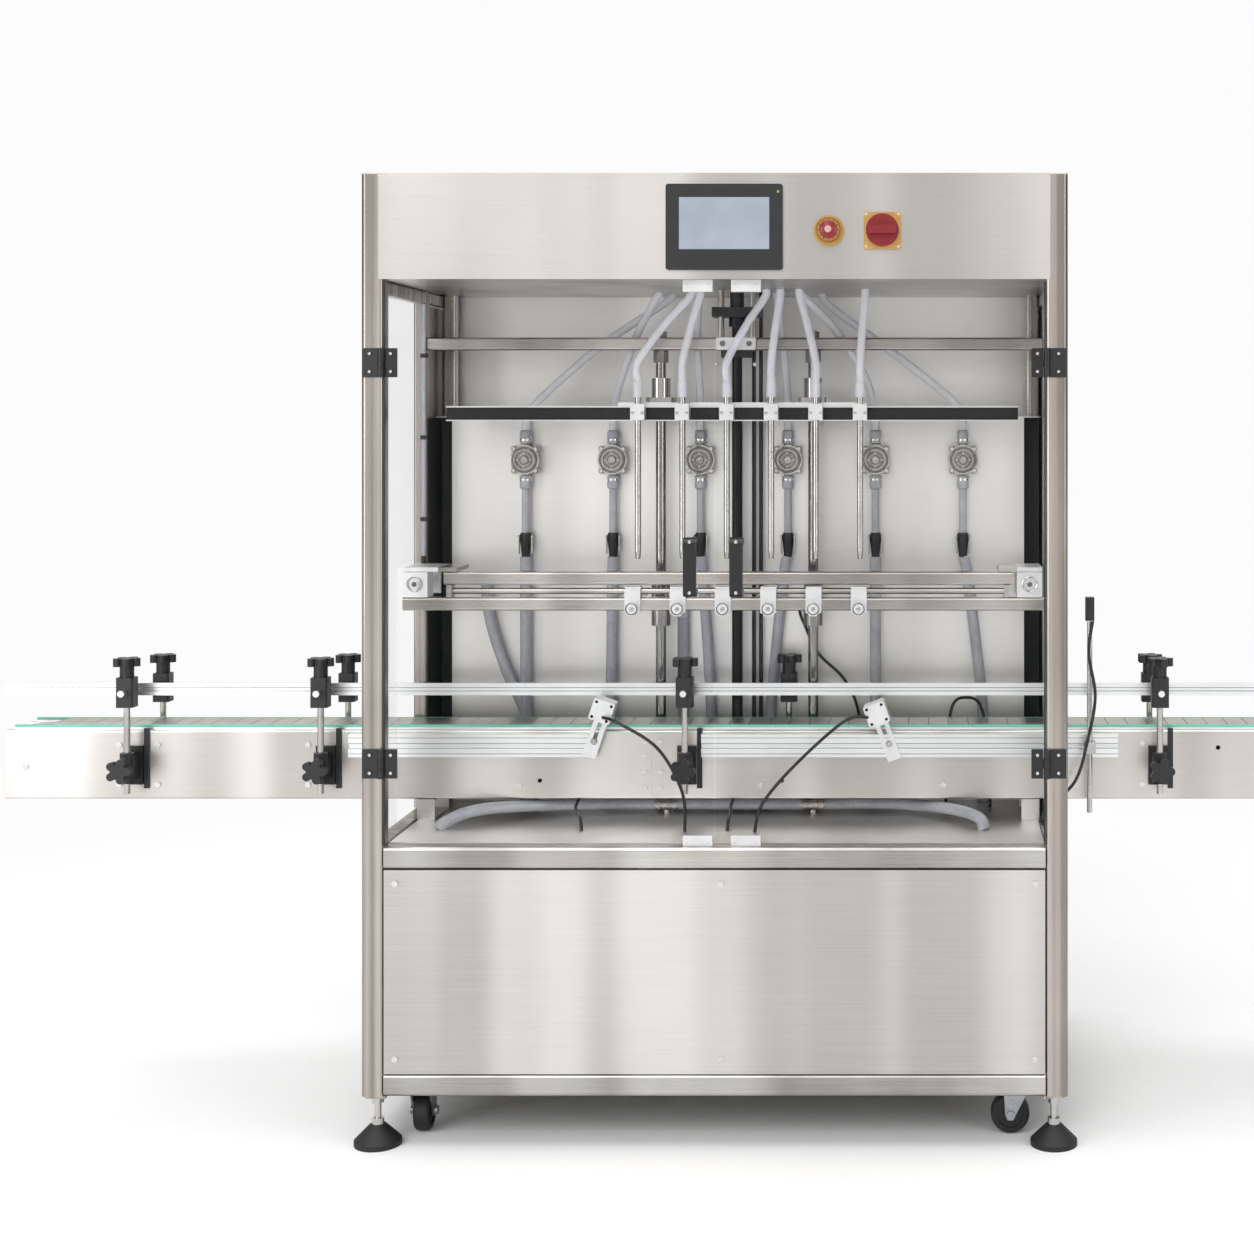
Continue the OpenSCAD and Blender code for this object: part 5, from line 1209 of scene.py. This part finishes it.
@dataclass
class Trim:
    """Rubber strips between glazing and frame, and nearly black sheets of painted shade beside the pump wall."""

    strip_at: Point = (0.5886, -0.3985, 1.043)
    strip_size: tuple[float, float, float] = (0.0028, 0.0026, 1.006)
    strip_edge: float = 0.0006
    shade_sheet_at: Point = (0.589, 0.075, 0.921)
    shade_sheet_size: tuple[float, float, float] = (0.031, 0.0016, 0.765)
    shade_sheet_edge: float = 0.0004

    def build(self) -> None:
        """Makes the strips and the painted shade sheets."""
        strips = MeshMaker()
        for side in (-1, 1):
            x, y, z = self.strip_at
            strips.slab(Vector((side * x, y, z)), Vector(self.strip_size), self.strip_edge)
        strips.make("door_gaskets", GASKET_AND_GAP_SHADE, "machine", "rubber")
        # Painted shade: nearly black sheets in the gaps beside the pump wall
        shade_sheet = MeshMaker()
        for side in (-1, 1):
            x, y, z = self.shade_sheet_at
            shade_sheet.slab(Vector((side * x, y, z)), Vector(self.shade_sheet_size), self.shade_sheet_edge)
        shade_sheet.make("painted_shade_sheets", PAINTED_SHADE_SHEET, "machine", "stainless")


@dataclass
class RailLines:
    """Dark lines along the groove lips of the slotted rails and profiles: painted shade of the grooves."""

    half: float = 1.380
    shade_line: float = 0.0011
    depth: float = 0.0006
    edge: float = 0.0001
    front: Point = (0.0, -0.1631, 0.7855)
    rear: Point = (0.0, -0.0631, 0.7715)
    rail_dz: tuple[float, ...] = (-0.0034, 0.0034)
    profile_y: float = -0.1857
    profile_z: float = 0.6815
    profile_dz: tuple[float, ...] = (-0.0045, 0.0045, -0.0150, 0.0150)
    profiles: tuple = ((-0.717, -0.263), (-0.049, 0.740))

    def build(self) -> None:
        """Makes the painted groove shade lines of both rails and of the two profiles."""
        rails = (("front_rail_groove_shade", self.front, "front_guide"), ("rear_rail_groove_shade", self.rear, "rear_guide"))
        for name, at, body in rails:
            maker = MeshMaker()
            for dz in self.rail_dz:
                maker.slab(Vector(at) + UP * dz, Vector((2 * self.half, self.depth, self.shade_line)), self.edge)
            maker.make(name, GROOVE_SHADE, body, "aluminium")
        maker = MeshMaker()
        for x0, x1 in self.profiles:
            for dz in self.profile_dz:
                at = Vector(((x0 + x1) / 2, self.profile_y, self.profile_z + dz))
                maker.slab(at, Vector((x1 - x0, self.depth, self.shade_line)), self.edge)
        maker.make("profile_groove_shade", GROOVE_SHADE, "machine", "aluminium")


@dataclass
class Facings:
    """Bright plates and rings that the drawn nodes leave plain, and painted highlights along the carriage beam's edges.
    """

    plate_mm: Point = (4.0, 340.4, 1447.5)
    plate_size: tuple[float, float, float] = (0.078, 0.0012, 0.0245)
    plate_edge: float = 0.0004
    plate_screw_x: tuple[float, float] = (-22.0, 30.0)
    plate_screw_setback: float = 339.8
    plate_screw: SocketScrew = field(default_factory=lambda: SocketScrew(11.0, 2.4))
    # Height and width of the pale strips above and below the carriage beam: painted highlight of its edges
    beam_highlights: tuple = ((1297.2, 2.4), (1323.6, 2.8))
    beam_length: float = 1.110
    beam_proud: float = 0.0008
    beam_round: float = 0.0002
    beam_setback: float = 307.7
    catch_x: tuple[float, float] = (-31.0, 55.0)
    catch_dx: tuple[float, float] = (-19.0, 19.0)
    catch_z: tuple[float, float] = (545.0, 1538.0)
    catch_setback: float = 10.2
    catch_screw: SocketScrew = field(default_factory=lambda: SocketScrew(6.0, 1.2))
    pump_z: float = 1219.0
    flange_setback: float = 395.0
    cover_setback: float = 390.0
    flange_ring: Profile = ((0.0292, 0), (0.0292, 0.0010), (0.0262, 0.0014), (0.0250, 0.0004), (0.0250, 0))
    cover_ring: Profile = ((0.0200, 0), (0.0198, 0.0016), (0.0176, 0.0018), (0.0170, 0.0004), (0.0170, 0))
    boss: Profile = ((0.0090, 0), (0.0090, 0.0012), (0.0072, 0.0030), (0.0030, 0.0034), (0.0003, 0.0026))
    outer_groove: Profile = ((0.0236, 0), (0.0236, 0.0003), (0.0226, 0.0003), (0.0226, 0))
    inner_groove: Profile = ((0.0150, 0), (0.0150, 0.0003), (0.0142, 0.0003), (0.0142, 0))
    ring_sides: int = 40
    boss_sides: int = 28
    arm_dx: float = 12.4
    arm_setback: float = 405.0
    arm_z: float = 1050.0
    arm_size: tuple[float, float, float] = (0.0024, 0.008, 0.036)
    arm_edge: float = 0.0006
    pivot_dx: float = 11.2
    pivot_z: float = 1066.0
    pivot: Profile = ((0.0036, 0), (0.0036, 0.003), (0.0024, 0.0036))
    pivot_sides: int = 14

    def build(self) -> None:
        """Makes the crossbar plate, the beam's painted edge highlights, catch screws, pump rings and coupling arms."""
        plate = MeshMaker()
        plate.slab(mm(*self.plate_mm), Vector(self.plate_size), self.plate_edge)
        plate.make("crossbar_face_plate", BLOCK, "machine", "aluminium")
        z = self.plate_mm[2]
        places = [tuple(mm(x, self.plate_screw_setback, z)) for x in self.plate_screw_x]
        screws("crossbar_screws", places, OUT, self.plate_screw, THREAD_AND_CREST_HIGHLIGHT, "machine")
        # Painted highlight: pale strips along the carriage beam's edges
        edges = MeshMaker()
        for z, h in self.beam_highlights:
            size = Vector((self.beam_length, self.beam_proud, h * MM))
            edges.slab(mm(0.0, self.beam_setback, z), size, self.beam_round)
        edges.make("carriage_beam_painted_highlights", ALUMINIUM_AND_EDGE_HIGHLIGHT, "nozzle_carriage", "aluminium")
        self.catch_screws()
        self.pump_rings()
        self.coupling_arms()

    def catch_screws(self) -> None:
        """Two screws in each door catch."""
        places = [
            tuple(mm(x + dx, self.catch_setback, z)) for x in self.catch_x for dx in self.catch_dx for z in self.catch_z
        ]
        screws("catch_screws", places, OUT, self.catch_screw, THREAD_AND_CREST_HIGHLIGHT, "machine")

    def pump_rings(self) -> None:
        """Machined rings, a grooved cover and the centre boss of each pump head, with thin black rings of painted shade
        in the grooves.
        """
        bright, dark = MeshMaker(), MeshMaker()
        for x in PUMPS.places():
            flange = mm(x, self.flange_setback, self.pump_z)
            cover = mm(x, self.cover_setback, self.pump_z)
            bright.lathe(flange, OUT, self.flange_ring, self.ring_sides, True)
            bright.lathe(cover, OUT, self.cover_ring, self.ring_sides, True)
            bright.lathe(cover, OUT, self.boss, self.boss_sides)
            # Painted shade: thin black rings laid in the cover's two grooves
            dark.lathe(cover, OUT, self.outer_groove, self.ring_sides, True)
            dark.lathe(cover, OUT, self.inner_groove, self.ring_sides, True)
        bright.make("pump_cover_rings", SHAFT, "machine", "stainless")
        dark.make("pump_groove_painted_shade", BLACK_OXIDE_AND_GROOVE_SHADE, "machine", "steel_dark")

    def coupling_arms(self) -> None:
        """Bright cam arms at the sides of the quick couplings."""
        maker = MeshMaker()
        for x in PUMPS.places():
            for side in (-1, 1):
                arm = mm(x + side * self.arm_dx, self.arm_setback, self.arm_z)
                maker.slab(arm, Vector(self.arm_size), self.arm_edge)
                pivot = mm(x + side * self.pivot_dx, self.arm_setback, self.pivot_z)
                maker.lathe(pivot, Vector((side, 0, 0)), self.pivot, self.pivot_sides)
        maker.make("coupling_cam_arms", SCREW, "machine", "stainless")


@dataclass
class Workings:
    """Facings of the neck locator, its clamps, the lane gates and the stop button."""

    front_y: float = -0.175
    guides: tuple[float, float] = (-0.594, 0.573)
    shaft_z: float = 0.9863
    shaft_proud: float = 0.0034
    guide_ring: Profile = ((0.0150, 0), (0.0150, 0.0010), (0.0138, 0.0016), (0.0122, 0.0008), (0.0122, 0))
    guide_sunk: float = 0.0002
    guide_sides: int = 36
    guide_screw: SocketScrew = field(default_factory=lambda: SocketScrew(10.0, 1.6))
    knob_face: float = -0.1931
    knob_z: float = 0.941
    knob_rim: Profile = ((0.0118, 0), (0.0118, 0.0008), (0.0106, 0.0014), (0.0094, 0.0005), (0.0094, 0))
    knob_sides: int = 32
    knob_screw_out: float = 0.0001
    knob_screw: SocketScrew = field(default_factory=lambda: SocketScrew(9.0, 1.2))
    # Gates: X, height above the slats and lean in degrees
    gates: tuple = ((-0.230, 0.036, 19.0), (0.284, 0.0305, -20.0))
    belt_z: float = 0.717
    gate_face: float = -0.2298
    gate_screw_out: float = 0.0145
    gate_screw: SocketScrew = field(default_factory=lambda: SocketScrew(5.6, 1.2))
    plate_face: float = -0.1886
    slot_down: float = 0.066
    slot_screw: SocketScrew = field(default_factory=lambda: SocketScrew(12.0, 4.0))
    stop: Point = (0.204, -0.4162, 1.635)
    stop_ring_form: Profile = ((0.0235, 0), (0.0235, 0.0010), (0.0222, 0.0015), (0.0205, 0.0010), (0.0200, 0))
    stop_sides: int = 48
    stop_dots: int = 12
    stop_dot_radius: float = 0.0180
    stop_dot: Profile = ((0.0016, -0.0002), (0.0016, 0.0005), (0.0008, 0.0008))
    dot_sides: int = 12
    cap_sides: int = 28
    stop_cap_y: float = -0.4354
    stop_cap: Profile = (
        (0.0062, 0),
        (0.0062, 0.0012),
        (0.0052, 0.0018),
        (0.0036, 0.0014),
        (0.0020, 0.0018),
        (0.0003, 0.0019),
    )

    def build(self) -> None:
        """Makes every set."""
        self.guide_rings()
        self.knob_faces()
        self.gate_screws()
        self.stop_ring()

    def guide_rings(self) -> None:
        """A bearing ring on each guide block and a screw in each shaft end."""
        rings = MeshMaker()
        for x in self.guides:
            at = Vector((x, self.front_y + self.guide_sunk, self.shaft_z))
            rings.lathe(at, OUT, self.guide_ring, self.guide_sides, True)
        rings.make("guide_bearing_rings", SHAFT, "machine", "stainless")
        ends = [(x, self.front_y - self.shaft_proud, self.shaft_z) for x in self.guides]
        screws("guide_shaft_screws", ends, OUT, self.guide_screw, THREAD_AND_CREST_HIGHLIGHT, "neck_locator")

    def knob_faces(self) -> None:
        """A turned rim and a centre screw on each clamp knob."""
        rims = MeshMaker()
        places = []
        for x in NOZZLES.places():
            at = Vector((x * MM, self.knob_face, self.knob_z))
            rims.lathe(at, OUT, self.knob_rim, self.knob_sides, True)
            places.append(tuple(at + OUT * self.knob_screw_out))
        rims.make("clamp_knob_rims", THREAD_AND_CREST_HIGHLIGHT, "neck_locator", "stainless")
        screws("clamp_knob_screws", places, OUT, self.knob_screw, SHAFT, "neck_locator")

    def gate_place(self, gate: Point, across: float, along: float, face: float) -> Point:
        """Turns a place on a leaning gate into scene coordinates.

        Args:
            gate: The gate's X, height above the slats and lean in degrees.
            across: Distance across the gate.
            along: Distance along the gate.
            face: Y of the face.

        Returns:
            The place in metres.
        """
        x, rise, tilt = gate
        turn = math.radians(tilt)
        px = x + across * math.cos(turn) + along * math.sin(turn)
        pz = self.belt_z + rise - across * math.sin(turn) + along * math.cos(turn)
        return (px, face, pz)

    def gate_screws(self) -> None:
        """Four cover screws on each gate body and one in each slotted plate."""
        corners, slots = [], []
        reach = (-self.gate_screw_out, self.gate_screw_out)
        for gate in self.gates:
            corners += [self.gate_place(gate, across, along, self.gate_face) for along in reach for across in reach]
            slots.append(self.gate_place(gate, 0.0, -self.slot_down, self.plate_face))
        screws("gate_cover_screws", corners, OUT, self.gate_screw, BLACK_OXIDE_AND_GROOVE_SHADE, "machine")
        screws("gate_slot_screws", slots, OUT, self.slot_screw, SHAFT, "machine")

    def stop_ring(self) -> None:
        """A raised ring with dots on the stop button's plate, and a pale disc on its cap that is a painted highlight.
        """
        ring = MeshMaker()
        at = Vector(self.stop)
        ring.lathe(at, OUT, self.stop_ring_form, self.stop_sides, True)
        for k in range(self.stop_dots):
            turn = 2 * math.pi * k / self.stop_dots
            dot = at + Vector((math.cos(turn), 0.0, math.sin(turn))) * self.stop_dot_radius
            ring.lathe(dot, OUT, self.stop_dot, self.dot_sides)
        ring.make("stop_plate_ring", AMBER, "machine", "yellow_plastic")
        # Painted highlight: pale rose dome on the centre of the stop button's cap
        cap = MeshMaker()
        cap.lathe(Vector((at.x, self.stop_cap_y, at.z)), OUT, self.stop_cap, self.cap_sides)
        cap.make("stop_button_highlight", STOP_HIGHLIGHT, "stop_button", "red_plastic")


@dataclass
class Studio:
    """Camera, floor, surroundings and lights."""

    camera_at: Point = (0.384, -3.850, 1.298)
    focal_px: float = 1937.0
    axis_px: tuple[float, float] = (930.0, 420.0)
    sensor_mm: float = 36.0
    clip: tuple[float, float] = (0.1, 100.0)
    backdrop: str = "#fcfcfc"
    fill: float = 0.42
    # What metal mirrors grows lighter from low to high, and darker from the middle to the sides
    rise_from: tuple[float, float] = (-0.4, 0.3)
    rise_to: tuple[float, float] = (0.46, 1.12)
    side_from: tuple[float, float] = (0.10, 0.80)
    side_to: tuple[float, float] = (1.0, 0.22)
    mirrored: str = "#f4f3f1"
    # Floor paint, the tone of its grit, and the grit's specks along a metre
    floor_paint: str = "#fbfbfb"
    floor_grit: str = "#f6f6f6"
    grit_scale: float = 60.0
    floor_reach: float = 30.0
    # Distances between which the floor turns into the background
    floor_fade: tuple[float, float] = (1.6, 3.4)

    def build(self) -> None:
        """Sets up the shot."""
        self.camera()
        self.world()
        self.floor()
        self.lights()
        bpy.context.scene.view_settings.view_transform = "Standard"

    def camera(self) -> None:
        """Level camera that looks along +Y, its window moved off the axis."""
        data = bpy.data.cameras.new("shot_camera")
        data.sensor_width = self.sensor_mm
        data.lens = self.sensor_mm * self.focal_px / IMAGE_PX
        data.shift_x = (IMAGE_PX / 2 - self.axis_px[0]) / IMAGE_PX
        data.shift_y = (self.axis_px[1] - IMAGE_PX / 2) / IMAGE_PX
        data.clip_start, data.clip_end = self.clip
        camera = bpy.data.objects.new("shot_camera", data)
        camera.location = self.camera_at
        camera.rotation_euler = (math.pi / 2, 0.0, 0.0)
        bpy.context.scene.collection.objects.link(camera)
        bpy.context.scene.camera = camera

    def world(self) -> None:
        """White studio; reflections see a broad gradient so that metal keeps its form."""
        world = bpy.data.worlds.new("studio")
        bpy.context.scene.world = world
        world.use_nodes = True
        tree = world.node_tree
        tree.nodes.clear()
        ray = add_node(tree, "ShaderNodeLightPath")
        way = add_node(tree, "ShaderNodeTexCoord").outputs["Generated"]
        parts = add_node(tree, "ShaderNodeSeparateXYZ", {0: way})
        rise = add_node(
            tree,
            "ShaderNodeMapRange",
            {
                "Value": parts.outputs["Z"],
                "From Min": self.rise_from[0],
                "From Max": self.rise_from[1],
                "To Min": self.rise_to[0],
                "To Max": self.rise_to[1],
            },
        ).outputs["Result"]
        across = parts.outputs["X"]
        side = add_node(tree, "ShaderNodeMath", {0: across, 1: across}, operation="MULTIPLY").outputs[0]
        shade = add_node(
            tree,
            "ShaderNodeMapRange",
            {
                "Value": side,
                "From Min": self.side_from[0],
                "From Max": self.side_from[1],
                "To Min": self.side_to[0],
                "To Max": self.side_to[1],
            },
        ).outputs["Result"]
        tone = add_node(tree, "ShaderNodeMath", {0: rise, 1: shade}, operation="MULTIPLY").outputs[0]
        kind = "ShaderNodeBackground"
        seen = add_node(tree, kind, {"Color": linear(self.backdrop), "Strength": 1.0}).outputs[0]
        mirrored = add_node(tree, kind, {"Color": linear(self.mirrored), "Strength": tone}).outputs[0]
        filled = add_node(tree, kind, {"Color": linear("#ffffff"), "Strength": self.fill}).outputs[0]
        glossy, seen_first = ray.outputs["Is Glossy Ray"], ray.outputs["Is Camera Ray"]
        inner = add_node(tree, "ShaderNodeMixShader", {0: glossy, 1: filled, 2: mirrored}).outputs[0]
        outer = add_node(tree, "ShaderNodeMixShader", {0: seen_first, 1: inner, 2: seen}).outputs[0]
        add_node(tree, "ShaderNodeOutputWorld", {"Surface": outer})

    def floor(self) -> None:
        """Pale floor that keeps the shadow near the machine and fades into the background."""
        mesh = bpy.data.meshes.new("studio_floor")
        r = self.floor_reach
        mesh.from_pydata([(-r, -r, 0), (r, -r, 0), (r, r, 0), (-r, r, 0)], [], [(0, 1, 2, 3)])
        material = bpy.data.materials.new("painted_studio_floor")
        material.use_nodes = True
        tree = material.node_tree
        tree.nodes.clear()
        place_at = add_node(tree, "ShaderNodeTexCoord").outputs["Object"]
        away = add_node(tree, "ShaderNodeVectorMath", {0: place_at}, operation="LENGTH").outputs["Value"]
        near_edge, far_edge = self.floor_fade
        share = add_node(
            tree,
            "ShaderNodeMapRange",
            {"Value": away, "From Min": near_edge, "From Max": far_edge},
            interpolation_type="SMOOTHSTEP",
        ).outputs["Result"]
        noise = {"Vector": place_at, "Scale": self.grit_scale, "Detail": 2.0}
        grit = add_node(tree, "ShaderNodeTexNoise", noise).outputs["Fac"]
        tone = add_node(
            tree, "ShaderNodeMix", {0: grit, 6: linear(self.floor_paint), 7: linear(self.floor_grit)}, data_type="RGBA"
        ).outputs[2]
        near = add_node(tree, "ShaderNodeBsdfDiffuse", {"Color": tone}).outputs[0]
        far = add_node(tree, "ShaderNodeEmission", {"Color": linear(self.backdrop), "Strength": 1.0}).outputs[0]
        ray = add_node(tree, "ShaderNodeLightPath").outputs["Is Camera Ray"]
        both = add_node(tree, "ShaderNodeMath", {0: ray, 1: share}, operation="MULTIPLY").outputs[0]
        surface = add_node(tree, "ShaderNodeMixShader", {0: both, 1: near, 2: far}).outputs[0]
        add_node(tree, "ShaderNodeOutputMaterial", {"Surface": surface})
        mesh.materials.append(material)
        floor = bpy.data.objects.new("studio_floor", mesh)
        bpy.context.scene.collection.objects.link(floor)

    def lights(self) -> None:
        """A soft overhead sun for the floor and two tall boxes for the metal."""
        self.sun("sky_panel", strength=1.65, spread=50.0, turn=(0.0, 0.0, 0.0))
        self.sun("front_panel", strength=0.75, spread=35.0, turn=(math.radians(52), 0.0, math.radians(-14)))
        self.box("left_box", at=(-2.6, -2.8, 1.7), size=(1.2, 2.4), power=38.0)
        self.box("right_box", at=(3.0, -3.0, 1.9), size=(0.9, 2.4), power=26.0)

    def sun(self, name: str, strength: float, spread: float, turn: Point) -> None:
        """Adds a wide sun.

        Args:
            name: Light name.
            strength: Irradiance in watts per square metre.
            spread: Apparent width in degrees.
            turn: Rotation in radians.
        """
        data = bpy.data.lights.new(name, "SUN")
        data.energy = strength
        data.angle = math.radians(spread)
        light = bpy.data.objects.new(name, data)
        light.rotation_euler = turn
        bpy.context.scene.collection.objects.link(light)

    def box(self, name: str, at: Point, size: tuple[float, float], power: float) -> None:
        """Adds a tall soft box aimed at the middle of the machine.

        Args:
            name: Light name.
            at: Place of the box.
            size: Its width and height.
            power: Its power in watts.
        """
        data = bpy.data.lights.new(name, "AREA")
        data.shape = "RECTANGLE"
        data.size, data.size_y = size
        data.energy = power
        light = bpy.data.objects.new(name, data)
        light.location = at
        light.rotation_euler = (Vector((0.0, 0.0, 1.0)) - Vector(at)).to_track_quat("-Z", "Y").to_euler()
        bpy.context.scene.collection.objects.link(light)


FINISHES = {
    FRAME: ("frame",),
    SHEET: ("header_box", "cabinet_panels", "conveyor_bed"),
    BAR: ("lift_crossbar",),
    GUIDE: ("neck_beam",),
    SLIDE: ("neck_slide",),
    PAINTED_LIGHT_WALL: ("pump_panel", "work_deck"),
    ROD: ("guide_rods",),
    SHAFT: ("drive_shaft", "idler_shaft", "gate_rod_left", "gate_rod_right"),
    NOZZLE: ("nozzles",),
    CARRIAGE: ("carriage_fittings",),
    CHAIN: ("slat_chain",),
    ALUMINIUM_AND_EDGE_HIGHLIGHT: ("conveyor_profiles", "front_rail", "rear_rail"),
    BLOCK: ("neck_forks", "gate_cylinders"),
    NYLON: ("rail_brackets", "hmi", "lift_motor", "pump_motors"),
    HINGE: ("door_hinges",),
    FRONT_POST: ("front_rail_posts",),
    REAR_POST: ("rear_rail_posts",),
    COUPLING: ("pump_couplings",),
    EYE: ("photo_eye",),
    DOOR_FITTING: ("door_left_fittings", "door_right_fittings"),
    BEAM: ("nozzle_beam",),
    ACRYLIC: ("door_left", "door_right"),
    ACRYLIC_SIDE: ("side_windows",),
    STRIP: ("wear_strips",),
    YELLOW: ("control_plates",),
    RED: ("estop_button", "switch_knob"),
    CAST: ("pump_heads", "conveyor_gearmotor"),
    BLACK_OXIDE_AND_GROOVE_SHADE: ("lift_screw",),
    SCREW: ("screws",),
    ZINC: ("caster_fork_front_right", "caster_fork_rear_left", "caster_fork_rear_right", "caster_fork_front_left"),
    RUBBER: (
        "caster_wheel_front_left",
        "caster_wheel_front_right",
        "caster_wheel_rear_left",
        "caster_wheel_rear_right",
    ),
    FOOT: ("foot_front_left", "foot_front_right", "foot_rear_left", "foot_rear_right"),
}


def soften_edges() -> None:
    """Rounds the CAD nodes' sharp edges a little so that they catch the light."""
    for name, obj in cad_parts.items():
        if obj.hide_render:
            continue
        bevel = obj.modifiers.new("edge_radius", "BEVEL")
        bevel.width = EDGE_RADIUS
        bevel.segments = 2
        bevel.limit_method = "ANGLE"
        bevel.angle_limit = math.radians(EDGE_DEG)
        bevel.harden_normals = True
        log.info("softened %s", name)


def main() -> None:
    """Builds the dressed machine and its studio."""
    logging.basicConfig(level=logging.INFO, format="%(message)s")
    Studio().build()
    for finish, nodes in FINISHES.items():
        for node in nodes:
            dress(node, finish)
    for group in (Hoses, Cables, Header, Fixings, LeadScrew, ChainDetail, RailLines, Facings, Workings, Trim):
        group().build()
    soften_edges()


if __name__ == "__main__":
    main()
